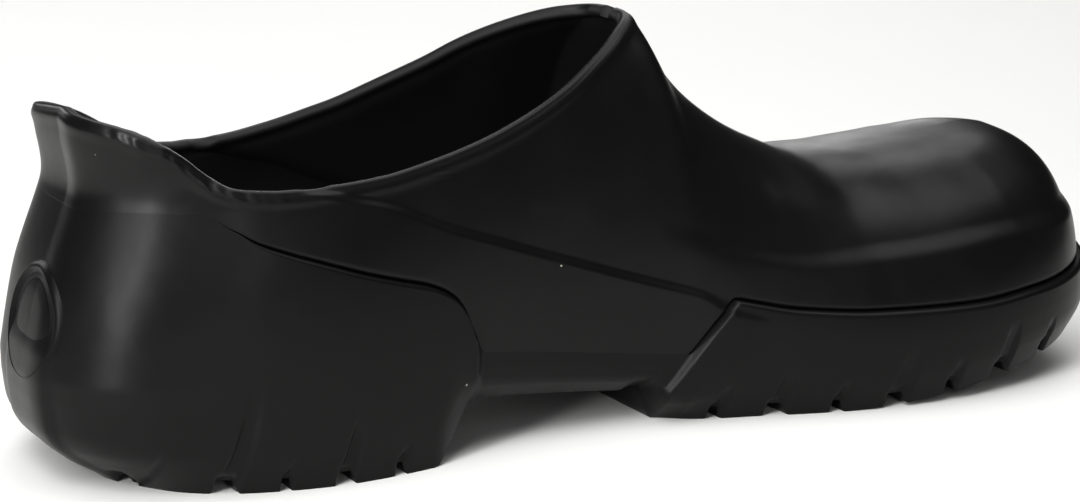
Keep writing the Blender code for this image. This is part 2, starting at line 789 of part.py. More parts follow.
def make_flutes(collection):
    """Leaning flutes up the side of the sole, above each notch."""
    corners = []
    faces = []
    for foot, rise, wide in HEEL_FLUTES + FORE_FLUTES:
        width = GROOVE_WIDTH if wide else NOTCH_WIDTH
        for side in (1, -1):
            first = len(corners)
            for share in FLUTE_LEVELS:
                height = rise * EDGE_RISE * share
                centre = foot * LENGTH + FLUTE_LEAN * height
                level = float(bottom_height(centre)) + GROOVE_DEPTH * 0.9 + height
                half = width / 2 * (1.0 - FLUTE_TAPER * share) * 0.94
                depth = FLUTE_DEPTH * (1.0 - share) - FLUTE_RUNOUT * share
                inset = read_table(EDGE_INSET_LINE, station_at(side, centre, level)) * EDGE_INSET
                inset = inset * read_table(EDGE_PROFILE, height / EDGE_RISE, 1.0)
                for move, deep in ((-half, False), (half, False), (half, True), (-half, True)):
                    out = inset + depth if deep else -FLUTE_REACH
                    station = station_at(side, centre + move, level)
                    corners.append(sole_point(side, station, np.array([level]), out)[0])
            for level in range(len(FLUTE_LEVELS) - 1):
                start = first + 4 * level
                for row in range(4):
                    up = (row + 1) % 4
                    faces.append((start + row, start + up, start + 4 + up, start + 4 + row))
            faces.append(tuple(first + row for row in range(4)))
            faces.append(tuple(first + 4 * (len(FLUTE_LEVELS) - 1) + row for row in range(4)))
    return helper("flutes", close_mesh("flutes", corners, faces), collection)


def insole_rows(side, stations):
    """Corners of the insole's columns on one side."""
    seat = seat_height(stations) + GAP
    cup = HEEL_CUP * (1.0 - fade(CUP_ZONE, stations))
    side_gap = WALL_LOW + INSOLE_CLEARANCE
    top = seat + INSOLE_THICKNESS
    axis = np.stack(column_axis(stations), axis=-1)
    rim = low_wall(side, stations, top + cup, side_gap)
    foot = np.concatenate([rim[:, :2], seat[:, None]], axis=-1)
    rows = [np.concatenate([axis, seat[:, None]], axis=-1), foot, rim]
    for share, lift in CUP_PROFILE:
        flat = rim[:, :2] + (axis - rim[:, :2]) * share
        rows.append(np.concatenate([flat, (top + cup * lift)[:, None]], axis=-1))
    return (np.stack(rows, axis=1),)


def make_insole(collection):
    """Loose footbed with a heel cup."""
    (columns,) = both_sides(insole_rows, base_stations())
    return new_object("insole", solid_of_columns("insole", columns), collection)


def new_object(name, mesh, collection):
    """Object with its own moulded material."""
    mesh.transform(TO_MIDDLE)
    thing = bpy.data.objects.new(name, mesh)
    collection.objects.link(thing)
    material = bpy.data.materials.new(name)
    material.use_nodes = True
    shader = material.node_tree.nodes["Principled BSDF"]
    shader.inputs["Base Color"].default_value = COLOURS[name]
    shader.inputs["Roughness"].default_value = ROUGHNESS[name]
    mesh.materials.append(material)
    mesh.shade_smooth()
    mesh.set_sharp_from_angle(angle=math.radians(35))
    return thing


def close_mesh(name, corners, faces):
    """Mesh whose doubled corners are merged and whose faces point out."""
    shape = bmesh.new()
    verts = [shape.verts.new(corner) for corner in corners]
    for face in faces:
        shape.faces.new([verts[i] for i in face])
    bmesh.ops.remove_doubles(shape, verts=shape.verts, dist=0.00001)
    bmesh.ops.triangulate(shape, faces=shape.faces, quad_method="SHORT_EDGE")
    bmesh.ops.recalc_face_normals(shape, faces=shape.faces)
    mesh = bpy.data.meshes.new(name)
    shape.to_mesh(mesh)
    shape.free()
    return mesh


def main():
    """Removes what the scene holds and builds the shoe."""
    for old in list(bpy.data.objects):
        bpy.data.objects.remove(old, do_unlink=True)
    parts = bpy.data.collections.new("chef_clog")
    cutters = bpy.data.collections.new("cutters")
    bpy.context.scene.collection.children.link(parts)
    bpy.context.scene.collection.children.link(cutters)
    make_upper(parts)
    make_outsole(parts, cutters)
    make_insole(parts)


main()
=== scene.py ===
"""Looks of a chef clog for the left foot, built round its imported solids.

The shoe stands on Z = 0 with its toe towards +X and the inner side of the foot towards -Y. The origin
is the middle of its box, on the ground. Lengths are metres.

Every skin is laid out in columns that stand round the shoe. A column starts at a point of the spine and
runs out to the side line. Its place is given by a station: a distance along the shoe from the heel that
becomes an angle where the columns fan round the heel and round the toe.
"""

import math

import bmesh
import bpy
import numpy as np
from bpy.props import FloatProperty, FloatVectorProperty, IntProperty, PointerProperty
from bpy.types import Operator, Panel, PropertyGroup
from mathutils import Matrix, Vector


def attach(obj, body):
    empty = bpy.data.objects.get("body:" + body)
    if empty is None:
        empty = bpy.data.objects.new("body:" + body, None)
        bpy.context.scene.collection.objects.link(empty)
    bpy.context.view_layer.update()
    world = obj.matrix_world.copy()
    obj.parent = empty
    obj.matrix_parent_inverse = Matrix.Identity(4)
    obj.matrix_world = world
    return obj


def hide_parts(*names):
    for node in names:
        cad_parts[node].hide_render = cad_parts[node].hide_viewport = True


bl_info = {
    "name": "Chef Clog",
    "version": (1, 0, 0),
    "blender": (4, 5, 0),
    "location": "3D View > Sidebar > Chef Clog",
    "description": "Builds the finished surfaces of a moulded chef clog round its packed solids",
    "category": "Add Mesh",
}

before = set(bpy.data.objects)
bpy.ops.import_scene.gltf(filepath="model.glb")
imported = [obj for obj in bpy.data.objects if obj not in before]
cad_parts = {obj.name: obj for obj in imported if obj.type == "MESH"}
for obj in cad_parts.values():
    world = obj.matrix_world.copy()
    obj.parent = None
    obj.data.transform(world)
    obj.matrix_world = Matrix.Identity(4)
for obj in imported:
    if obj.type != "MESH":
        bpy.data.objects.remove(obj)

IMAGE_WIDTH = 1080

# Middle of the shoe's box, measured from the heel end of the spine
MIDDLE = np.array([0.1439, -0.0074, 0.0])

# Outer sizes
LENGTH = 0.2920
BALL_WIDTH = 0.1150
WAIST_WIDTH = 0.0770
HEEL_WIDTH = 0.0800
LIP_HEIGHT = 0.0885
COLLAR_LOW_HEIGHT = 0.0705
COLLAR_FRONT_HEIGHT = 0.1010
TOE_CAP_HEIGHT = 0.0675
STEP_HEIGHT = 0.0290
RIDGE_HEIGHT = 0.0420
COUNTER_HEIGHT = 0.0665

# Walls, steps and clearances
WALL = 0.0036
WALL_LOW = 0.0052
REBATE = 0.0022
HEEL_PROUD = 0.0014
FORE_PROUD = 0.0020
LIP_FLARE = 0.0085
LIP_START = 0.76

# Sole
HEEL_SEAT = 0.0270
FORE_SEAT = 0.0160
ARCH_HEIGHT = 0.0143
SLAB_STEP = 0.0080
TOE_SPRING = 0.0175
HEEL_BREAST = 0.0865
BREAST_SLANT = 0.0100
SLAB_START = 0.1500
SLAB_SLANT = 0.0025
SPRING_POWER = 1.6
EDGE_LEAN = 0.0160
EDGE_START = 0.0058
EDGE_END = 0.0178
SEAT_LIP = 0.0015
DIAGONAL_SOFT = 0.0025
BACK_FLUSH = 0.68
EDGE_INSET = 0.0080
EDGE_RISE = 0.0220

# Heel medallion
BOSS_RADIUS = 0.0135
BOSS_HEIGHT = 0.0385

# Footbed
INSOLE_THICKNESS = 0.0048
HEEL_CUP = 0.0080
INSOLE_CLEARANCE = 0.0010

# Columns fan round a centre in the heel and another in the toe
HEEL_CENTRE = HEEL_WIDTH / 2
TOE_CENTRE = LENGTH - 0.38 * BALL_WIDTH
BLOCK_FRONT = HEEL_BREAST + BREAST_SLANT

# Zones along the shoe in which a feature fades in, as shares of LENGTH
TURN_STATION = 0.60 * LENGTH
WARP_START = 0.33 * LENGTH
WARP_POWER = 1.6
RISE_STEP = 0.004
SPRING_START = 0.67 * LENGTH
CAP_ZONE = (0.62, 0.84)
SEAT_ZONE = (0.237, 0.591)
LOWER_WALL_ZONE = (0.14, 0.24)
FORE_WALL_ZONE = (0.555, 0.605)
RIDGE_ZONE = (0.50, 0.60)
CREASE_ZONE = (0.545, 0.610)
LIP_ZONE = (0.07, 0.14)
BACK_ZONE = (0.122, 0.170)
CUP_ZONE = (0.18, 0.40)

# Edges of the finish
SEAM = 0.00006
TROUGH_STATION = 0.106 * LENGTH
TROUGH_WIDTH = 0.0065
RIM_ROUND = 0.0013
EDGE_TUCK = 0.0012
BREAST_SOFT = 0.0026
CREASE_HALF = 0.0030
KEEL_HALF = 0.0125
KEEL_PROUD = 0.0009
KEEL_ROUND = 0.006

# Collar edge: distance of the bead's crest from the edge and its half width
BEAD_PLACE = 0.0014
BEAD_HALF = 0.0016

# Torn mould flash on the inner side: zone along the shoe, reach below the collar's edge and size of its waves
FLASH_START = (0.010, 0.018)
FLASH_END = (0.046, 0.056)
FLASH_REACH = (0.0006, 0.0022)
FLASH_WAVE = 0.0032

# Edges sharper than this angle stay crisp
CRISP_ANGLE = math.radians(50)

# Rows of the skins
LOW_ROWS = 12
CREASE_ROWS = 14
WALL_ROWS = 44
RIM_ROWS = 18
SIDE_ROWS = 60
TREAD_ROWS = 24
FOOTBED_ROWS = 34
LINING_STEP = 3
RIM_STEPS = 9
FOOT_ROWS = 8
FOOTBED_COLUMNS = 150

# Sizes in the materials: swelling of the foam, smears, dust cells and threads of the footbed's cover
SWELL_SIZE = 0.011
SMEAR_SIZE = 0.030
DUST_CELL = 0.014
THREAD_SPACING = 0.0005655
WEAR_SIZE = 0.02
PAPER_MOTTLE = 0.25

# Medallion: share of its radius, then share of its height over the skin
BOSS_HEIGHT_STEP = 0.0010
BOSS_SPREAD = 1.06
BOSS_GRAIN = 0.0006
BOSS_TURNS = 160
BOSS_RINGS = 40
MEDALLION_PROFILE = (
    (0.00, 0.55),
    (0.45, 0.42),
    (0.66, 0.10),
    (0.76, -0.15),
    (0.82, 0.35),
    (0.88, 1.00),
    (0.94, 0.70),
    (1.00, -0.60),
)

# Studio: name, azimuth and elevation in degrees, distance and size in metres, watts
LIGHTS = (
    ("overhead", 20.0, 86.0, 1.8, (2.2, 1.6), 31.0),
    ("front_left", -50.0, 48.0, 1.2, (0.5, 0.5), 7.6),
    ("behind_low", 147.0, 11.5, 1.3, (0.42, 0.18), 1.1),
    ("behind_high", 150.0, 40.0, 1.3, (0.8, 0.5), 3.2),
    ("heel_strip", -63.0, 20.0, 1.0, (0.11, 0.60), 7.4),
    ("side_strip", -15.0, 20.0, 1.1, (0.12, 0.60), 1.3),
    ("back_left", -163.0, 22.0, 1.1, (0.25, 0.44), 1.5),
)
WORLD_STRENGTH = 0.03
FLOOR_HALF = 6.0
CAMERA_AZIMUTH = -30.0
CAMERA_ELEVATION = 14.3
CAMERA_DISTANCE = 0.640
CAMERA_FOCAL = 2483.0
CAMERA_TARGET = (0.1370 - MIDDLE[0], 0.0074, 0.0380)

# Side line of the wall: share of LENGTH, then inner and outer half width as shares of the zone's width
HEEL_LINE = (
    (0.0000, 0.000, 0.000),
    (0.0060, 0.150, 0.275),
    (0.0380, 0.305, 0.412),
    (0.0960, 0.424, 0.472),
    (0.1680, 0.490, 0.492),
    (0.2450, 0.512, 0.498),
)
WAIST_LINE = (
    (0.3300, 0.506, 0.506),
    (0.4200, 0.490, 0.512),
    (0.5100, 0.525, 0.545),
)
BALL_LINE = (
    (0.5900, 0.416, 0.398),
    (0.6700, 0.484, 0.420),
    (0.7500, 0.534, 0.410),
    (0.8250, 0.549, 0.360),
    (0.8950, 0.520, 0.272),
    (0.9500, 0.426, 0.150),
    (0.9840, 0.266, 0.000),
)
TOE_TIP = (0.9905, -0.120)

# Spine: share of LENGTH, then shift towards the inner side as a share of BALL_WIDTH
SPINE_LINE = (
    (0.00, 0.000),
    (0.20, 0.000),
    (0.40, 0.010),
    (0.55, 0.030),
    (0.70, 0.070),
    (0.85, 0.100),
    (1.00, 0.110),
)

# Height of the body along the spine. Behind the collar front it is the ankle that the collar cuts off
BODY_TOP = (
    (0.000, 1.250),
    (0.070, 1.180),
    (0.130, 1.060),
    (0.210, 1.000),
    (0.290, 1.030),
    (0.370, 1.075),
    (0.430, 1.075),
    (0.480, 1.045),
    (0.515, 1.017),
    (0.534, 1.000),
    (0.560, 0.875),
    (0.590, 0.778),
    (0.630, 0.690),
    (0.670, 0.628),
    (0.710, 0.580),
    (0.740, 0.573),
    (0.780, 0.565),
    (0.820, 0.569),
    (0.860, 0.581),
    (0.900, 0.608),
    (0.940, 0.632),
    (1.000, 0.650),
)

# Squareness of the body's cross sections: 2 is an ellipse
BODY_SQUARE = (
    (0.00, 2.20),
    (0.50, 2.20),
    (0.60, 2.15),
    (0.70, 2.20),
    (0.80, 2.50),
    (0.87, 2.70),
    (0.93, 3.10),
    (1.00, 3.30),
)

# Collar: station as a share of LENGTH, then height as a share of the way from the low point to the lip
COLLAR_BACK = (
    (0.000, 1.00),
    (0.025, 0.95),
    (0.062, 0.83),
    (0.086, 0.66),
    (0.103, 0.47),
    (0.118, 0.25),
    (0.137, 0.06),
    (0.171, 0.00),
)
# The same from the low point to the collar front, on the inner side and on the outer side
COLLAR_SIDE = (
    (0.171, 0.00, 0.00),
    (0.212, 0.00, 0.02),
    (0.257, 0.02, 0.09),
    (0.308, 0.09, 0.22),
    (0.360, 0.20, 0.40),
    (0.404, 0.34, 0.57),
    (0.445, 0.52, 0.74),
    (0.486, 0.75, 0.89),
    (0.514, 0.91, 0.97),
    (0.534, 1.00, 1.00),
)

# Top edge of the heel block: share of the block's length, then share of COUNTER_HEIGHT
HEEL_BLOCK_EDGE = (
    (0.000, 0.985),
    (0.345, 1.000),
    (0.400, 0.940),
    (0.452, 0.887),
    (0.526, 0.842),
    (0.612, 0.797),
    (0.716, 0.744),
    (0.800, 0.707),
    (0.885, 0.669),
    (0.947, 0.617),
    (0.978, 0.556),
    (1.000, 0.466),
)

# Top edge of the forefoot block: share of the block's length, then share of STEP_HEIGHT
FORE_BLOCK_EDGE = (
    (0.000, 1.150),
    (0.090, 1.110),
    (0.241, 0.960),
    (0.386, 0.900),
    (0.559, 0.890),
    (0.710, 0.940),
    (0.848, 1.060),
    (1.000, 1.140),
)

# Soft ridge round the toe cap, as a share of RIDGE_HEIGHT
TOE_RIDGE = (
    (0.500, 1.220),
    (0.575, 1.036),
    (0.651, 0.935),
    (0.726, 0.950),
    (0.818, 1.000),
    (0.911, 1.036),
    (1.000, 1.070),
)

# Top edge of the lower wall between collar and forefoot, as a share of COLLAR_LOW_HEIGHT
LOWER_WALL_EDGE = (
    (0.150, 1.040),
    (0.202, 0.979),
    (0.264, 0.908),
    (0.308, 0.823),
    (0.353, 0.752),
    (0.390, 0.695),
    (0.428, 0.638),
    (0.466, 0.582),
    (0.507, 0.525),
    (0.548, 0.468),
    (0.575, 0.395),
    (0.640, 0.320),
    (1.000, 0.300),
)

# Lean of the wall towards the spine, as a share of height over the seat
WALL_LEAN = (
    (0.000, 0.205),
    (0.060, 0.160),
    (0.110, 0.060),
    (0.160, 0.030),
    (0.240, 0.010),
    (1.000, 0.000),
)

# Inset of the sole's bottom edge: share of LENGTH, then share of EDGE_INSET
EDGE_INSET_LINE = (
    (0.000, 2.150),
    (0.060, 1.650),
    (0.110, 0.820),
    (0.160, 0.480),
    (0.220, 0.280),
    (0.290, 0.250),
    (0.330, 0.500),
    (0.480, 0.750),
    (0.503, 1.375),
    (0.548, 0.750),
    (0.613, 0.500),
    (0.726, 0.380),
    (0.856, 0.440),
    (1.000, 0.620),
)

# Side of the sole: share of EDGE_RISE above the bottom edge, then share of the inset
EDGE_PROFILE = (
    (0.00, 1.00),
    (0.10, 0.82),
    (0.30, 0.47),
    (0.50, 0.18),
    (0.70, 0.05),
    (1.00, 0.00),
)

# Side flutes: foot as a share of LENGTH, height, half width and depth in metres
HEEL_FLUTES = (
    (0.062, 0.0160, 0.0012, 0.0007),
    (0.120, 0.0290, 0.0024, 0.0011),
    (0.164, 0.0100, 0.0012, 0.0007),
    (0.212, 0.0200, 0.0022, 0.0012),
    (0.260, 0.0085, 0.0012, 0.0009),
)
FORE_FLUTES = (
    (0.560, 0.0110, 0.0016, 0.0009),
    (0.612, 0.0150, 0.0026, 0.0011),
    (0.664, 0.0100, 0.0016, 0.0010),
    (0.716, 0.0160, 0.0028, 0.0011),
    (0.768, 0.0100, 0.0016, 0.0010),
    (0.820, 0.0150, 0.0026, 0.0011),
    (0.872, 0.0110, 0.0016, 0.0009),
)
FLUTE_LEAN = 0.22
GROOVE_DEPTH = 0.0030

# Soft troughs and ridges on both sides of the upper: height over the skin, half width, and corners given
# as station (share of LENGTH) and turn up the cross section (share of a quarter turn)
CREASES = (
    (-0.0005, 0.0090, ((0.300, 0.34), (0.360, 0.44), (0.430, 0.56))),
    (0.0004, 0.0080, ((0.620, 0.40), (0.660, 0.52), (0.690, 0.70))),
)

# Footbed across: share of the way from the rim to the spine, then share of the heel cup's height
CUP_PROFILE = (
    (0.00, 0.93),
    (0.03, 1.00),
    (0.07, 0.97),
    (0.14, 0.68),
    (0.22, 0.34),
    (0.34, 0.10),
    (0.50, 0.01),
    (1.00, 0.00),
)


def smooth(edge_low, edge_high, value):
    """Soft step from 0 to 1 between two values."""
    share = np.clip((value - edge_low) / (edge_high - edge_low), 0.0, 1.0)
    return share * share * (3.0 - 2.0 * share)


def fade(zone, station):
    """Soft step from 0 to 1 through a zone along the shoe."""
    return smooth(zone[0] * LENGTH, zone[1] * LENGTH, station)


def read_table(table, place, unit=LENGTH, column=1):
    """Value of a table at a place, on a curve with continuous slope that doesn't overshoot."""
    xs = np.array([row[0] for row in table]) * unit
    ys = np.array([row[column] for row in table], dtype=float)
    run = np.diff(xs)
    slope = np.diff(ys) / run
    product = slope[:-1] * slope[1:]
    total = slope[:-1] + slope[1:]
    inner = np.where(product > 0, 2 * product / np.where(product > 0, total, 1.0), 0.0)
    tangent = np.concatenate([slope[:1], inner, slope[-1:]])
    place = np.clip(place, xs[0], xs[-1])
    i = np.clip(np.searchsorted(xs, place, side="right") - 1, 0, len(run) - 1)
    t = (place - xs[i]) / run[i]
    h = run[i]
    start = (1 + 2 * t) * (1 - t) ** 2 * ys[i] + t * (1 - t) ** 2 * h * tangent[i]
    return start + t * t * (3 - 2 * t) * ys[i + 1] + t * t * (t - 1) * h * tangent[i + 1]


def closed_curve(points, count):
    """Points along a closed cubic spline with continuous curvature that passes through the given points."""
    size = len(points)
    weights = np.zeros((size, size))
    for i in range(size):
        weights[i, i] = 4.0 / 6.0
        weights[i, (i - 1) % size] = weights[i, (i + 1) % size] = 1.0 / 6.0
    control = np.linalg.solve(weights, np.array(points))
    along = np.linspace(0.0, size, count, endpoint=False)
    i = along.astype(int)
    t = (along - i)[:, None]
    before, here, after, beyond = (control[(i + step) % size] for step in (-1, 0, 1, 2))
    blend = (1 - t) ** 3 * before + (3 * t ** 3 - 6 * t ** 2 + 4) * here
    return (blend + (-3 * t ** 3 + 3 * t ** 2 + 3 * t + 1) * after + t ** 3 * beyond) / 6.0


def side_line():
    """The wall's outline seen from above, as a dense closed loop from the heel along the outer side."""
    zones = ((HEEL_LINE, HEEL_WIDTH), (WAIST_LINE, WAIST_WIDTH), (BALL_LINE, BALL_WIDTH))
    rows = [(along, inner * width, outer * width) for line, width in zones for along, inner, outer in line]
    outer_side = [(along * LENGTH, outer) for along, inner, outer in rows]
    tip = [(TOE_TIP[0] * LENGTH, TOE_TIP[1] * BALL_WIDTH)]
    inner_side = [(along * LENGTH, -inner) for along, inner, outer in reversed(rows[1:])]
    return closed_curve(outer_side + tip + inner_side, 1600)


def spine_shift(along):
    """Y of the spine at a distance along the shoe."""
    return -read_table(SPINE_LINE, along) * BALL_WIDTH


def column_axis(station):
    """Where a column starts: on the spine, or at the centre of the heel's or toe's fan."""
    along = np.clip(station, HEEL_CENTRE, TOE_CENTRE)
    return along, spine_shift(along)


def column_direction(side, station):
    """Direction of a column seen from above."""
    heel_turn = np.clip(1.0 - station / HEEL_CENTRE, 0.0, 1.0)
    toe_turn = np.clip((station - TOE_CENTRE) / (LENGTH - TOE_CENTRE), 0.0, 1.0)
    turn = (toe_turn - heel_turn) * math.pi / 2
    return np.sin(turn), side * np.cos(turn)


def measure_reach():
    """For each side, stations and the distance from the spine to the side line at each of them."""
    loop = side_line()
    reach = {}
    for side in (1, -1):
        along, across = loop[:, 0], loop[:, 1]
        centre_x = np.clip(along, HEEL_CENTRE, TOE_CENTRE)
        off_x = along - centre_x
        off_y = across - spine_shift(centre_x)
        angle = np.arctan2(off_x, side * off_y)
        turn = angle / (math.pi / 2)
        heel = HEEL_CENTRE * (1.0 + np.minimum(turn, 0.0))
        toe = TOE_CENTRE + (LENGTH - TOE_CENTRE) * np.maximum(turn, 0.0)
        station = np.where(off_x < 0, heel, np.where(off_x > 0, toe, along))
        keep = side * off_y > -0.004
        order = np.argsort(station[keep])
        reach[side] = (station[keep][order], np.hypot(off_x, off_y)[keep][order])
    return reach


REACH = measure_reach()


def seat_height(station):
    """Top of the sole under the foot."""
    return HEEL_SEAT + (FORE_SEAT - HEEL_SEAT) * fade(SEAT_ZONE, station)


def bottom_height(along):
    """Underside of the sole: heel, breast, arch, rear of the forefoot block and toe spring."""
    breast = ARCH_HEIGHT * np.clip((along - HEEL_BREAST) / BREAST_SLANT, 0.0, 1.0)
    arch_end = SLAB_START - SLAB_SLANT
    arch_start = HEEL_BREAST + BREAST_SLANT
    share = np.clip((along - arch_start) / (arch_end - arch_start), 0.0, 1.0)
    arch = breast + (SLAB_STEP - ARCH_HEIGHT) * share
    slab = arch * (1.0 - np.clip((along - arch_end) / SLAB_SLANT, 0.0, 1.0))
    spring = np.clip((along - SPRING_START) / (LENGTH - SPRING_START), 0.0, 1.0)
    return slab + TOE_SPRING * spring ** SPRING_POWER


def body_top(station):
    """Height of the body along the spine."""
    top = read_table(BODY_TOP, station) * COLLAR_FRONT_HEIGHT
    return top + fade(CAP_ZONE, station) * (TOE_CAP_HEIGHT - BODY_TOP[-1][1] * COLLAR_FRONT_HEIGHT)


def rim_height(side, station):
    """Height of the collar's edge."""
    lip = COLLAR_LOW_HEIGHT + (LIP_HEIGHT - COLLAR_LOW_HEIGHT) * read_table(COLLAR_BACK, station)
    rise = COLLAR_FRONT_HEIGHT - COLLAR_LOW_HEIGHT
    ahead = COLLAR_LOW_HEIGHT + rise * read_table(COLLAR_SIDE, station, LENGTH, 1 if side < 0 else 2)
    return np.where(station < COLLAR_BACK[-1][0] * LENGTH, lip, ahead)


def block_height(station):
    """Top edge of the outsole where it wraps up the wall."""
    seat = seat_height(station) + SEAT_LIP
    heel = read_table(HEEL_BLOCK_EDGE, station, BLOCK_FRONT) * COUNTER_HEIGHT
    heel = seat + (heel - seat) * (1.0 - smooth(BLOCK_FRONT, BLOCK_FRONT + BREAST_SOFT, station))
    fore = read_table(FORE_BLOCK_EDGE, station - SLAB_START, LENGTH - SLAB_START) * STEP_HEIGHT
    rise = np.clip((station - SLAB_START - EDGE_START) / (EDGE_END - EDGE_START), 0.0, 1.0)
    return np.maximum(np.maximum(heel, seat), seat + (fore - seat) * rise)


def height_to_turn(station, height):
    """Angle round a cross section at which its wall reaches a height."""
    base = seat_height(station)
    share = np.clip((height - base) / (body_top(station) - base), 0.0, 1.0)
    return np.arcsin(share ** (read_table(BODY_SQUARE, station) / 2.0))


def crease_lift(points, side, crease):
    """Height over the skin that a trough or ridge gives to each point, fading out at its ends."""
    lift, width, corners = crease
    places = np.array([corner[0] for corner in corners]) * LENGTH
    turns = np.array([corner[1] for corner in corners]) * math.pi / 2
    path = dense_path(body_point(side, places, turns))
    away, along = distance_to_path(points, path)
    ends = smooth(0.0, 0.25, along) * (1.0 - smooth(0.75, 1.0, along))
    return lift * ends * np.exp(-(away / width) ** 2)


def crease_height(station):
    """Height of the lower wall's edge, which the ridge round the toe cap takes over."""
    edge = read_table(LOWER_WALL_EDGE, station) * COLLAR_LOW_HEIGHT
    ridge = read_table(TOE_RIDGE, station) * RIDGE_HEIGHT
    return edge + (ridge - edge) * fade(CREASE_ZONE, station)


def wall_inset(station, height):
    """How far the wall lies inside the side line: steps at the lower wall's edge and round the toe cap."""
    sizes = bpy.context.scene.clog_sizes
    edge = read_table(LOWER_WALL_EDGE, station) * COLLAR_LOW_HEIGHT
    above = smooth(edge - sizes.crease_soft, edge + sizes.crease_soft, height)
    above = np.maximum(above, fade(FORE_WALL_ZONE, station))
    inset = sizes.crease_step * fade(LOWER_WALL_ZONE, station) * above
    trough = np.exp(-((station - TROUGH_STATION) / TROUGH_WIDTH) ** 2)
    inset = inset + sizes.trough_depth * trough * smooth(0.012, 0.034, height)
    ridge = read_table(TOE_RIDGE, station) * RIDGE_HEIGHT
    above = smooth(ridge - sizes.ridge_soft, ridge + sizes.ridge_soft, height)
    return inset + sizes.ridge_step * fade(RIDGE_ZONE, station) * above


def body_point(side, station, turn, inset=0.0):
    """Point of the body's surface at an angle up its cross section."""
    base = seat_height(station)
    power = 2.0 / read_table(BODY_SQUARE, station)
    reach = np.interp(station, *REACH[side])
    share = np.maximum(np.cos(turn), 0.0) ** power
    axis_x, axis_y = column_axis(station)
    way_x, way_y = column_direction(side, station)
    middle = body_top(np.minimum(station, TOE_CENTRE))
    rise = (body_top(TOE_CENTRE) - body_top(TOE_CENTRE - RISE_STEP)) / RISE_STEP
    ahead = np.maximum(way_x, 0.0) * reach * rise
    top = middle + ahead * share * (1.0 - share) + (body_top(station) - middle) * share ** 2
    height = base + (top - base) * np.sin(turn) ** power
    lean = read_table(WALL_LEAN, station) * (height - base)
    flare = LIP_FLARE * (1.0 - fade(LIP_ZONE, station)) * smooth(LIP_START * LIP_HEIGHT, LIP_HEIGHT, height)
    moved = (flare - lean - wall_inset(station, height) - inset) * (1.0 - (1.0 - share) ** 3)
    distance = np.maximum(reach * share + moved, 0.0)
    return np.stack([axis_x + way_x * distance, axis_y + way_y * distance, height], axis=-1)


def low_wall(side, station, height, inset=0.0):
    """Point of the wall between sole and block edge, at a height."""
    return body_point(side, station, height_to_turn(station, height), inset)


def top_stations(stations):
    """Station at which each column ends, closer together where the collar turns round its front."""
    front = collar_front()
    share = np.clip((stations - WARP_START) / (TURN_STATION - WARP_START), 0.0, 1.0)
    rim = front - (front - WARP_START) * (1.0 - share) ** WARP_POWER
    spine = front + (TOE_CENTRE - front) * (stations - TURN_STATION) / (TOE_CENTRE - TURN_STATION)
    ahead = np.where(stations <= TURN_STATION, rim, np.where(stations > TOE_CENTRE, stations, spine))
    return np.where(stations < WARP_START, stations, ahead)


def collar_front():
    """Station at which the spine reaches the foot of the collar's rolled edge."""
    tries = np.linspace(COLLAR_SIDE[-1][0], COLLAR_SIDE[-1][0] + 0.05, 200) * LENGTH
    return float(np.interp(RIM_ROUND - COLLAR_FRONT_HEIGHT, -body_top(tries), tries))


def unit(vectors):
    """Vectors scaled to length 1."""
    return vectors / np.maximum(np.linalg.norm(vectors, axis=-1, keepdims=True), 1e-12)


def grid_normals(points):
    """Outward directions of a grid whose columns run once round the shoe and whose rows run up."""
    around = np.roll(points, -1, axis=0) - np.roll(points, 1, axis=0)
    up = np.gradient(points, axis=1)
    return unit(np.cross(up, around))


def distance_to_path(points, path):
    """Distance of each point from a dense path, and the share of the path at which it lies."""
    flat = points.reshape(-1, 3)
    best = np.full(len(flat), 1e9)
    place = np.zeros(len(flat))
    for number, spot in enumerate(path):
        gap = ((flat - spot) ** 2).sum(axis=1)
        nearer = gap < best
        best = np.where(nearer, gap, best)
        place = np.where(nearer, number / max(len(path) - 1, 1), place)
    return np.sqrt(best).reshape(points.shape[:-1]), place.reshape(points.shape[:-1])


def dense_path(corners, step=0.0008):
    """Smooth path through the given points, with a point at each step."""
    corners = np.array(corners, dtype=float)
    run = np.concatenate([[0.0], np.cumsum(np.linalg.norm(np.diff(corners, axis=0), axis=1))])
    along = np.linspace(0.0, run[-1], max(int(run[-1] / step), 2))
    columns = []
    for axis in range(3):
        table = np.stack([run, corners[:, axis]], axis=1)
        columns.append(read_table(table, along, 1.0))
    return np.stack(columns, axis=1)


def ripple(along, size):
    """Irregular wave between -1 and 1 along a distance."""
    turn = along / size
    waves = ((2.1, 0.0), (3.7, 1.3), (6.3, 0.4), (9.1, 0.0))
    return sum(np.sin(turn * pitch + start) for pitch, start in waves) / len(waves)


def spread_stations(side, count, fine, coarse, zones):
    """Stations round one side, closer together inside zones that are given as distances along the shoe."""
    tries = np.linspace(0.0, LENGTH, 6000)
    line = low_wall(side, tries, seat_height(tries))
    close = np.zeros(len(tries), dtype=bool)
    for low, high in zones:
        close |= (line[:, 0] > low) & (line[:, 0] < high)
    run = np.linalg.norm(np.diff(line, axis=0), axis=1)
    weight = np.where(close[1:], 1.0 / fine, 1.0 / coarse)
    total = np.concatenate([[0.0], np.cumsum(run * weight)])
    return np.interp(np.linspace(0.0, total[-1], count), total, tries)


def ring_of(maker, stations):
    """Grid once round the shoe, from the heel along the outer side and back along the inner side."""
    outer = maker(1, stations[1])
    inner = maker(-1, stations[-1][1:-1])
    return np.concatenate([outer, inner[::-1]])


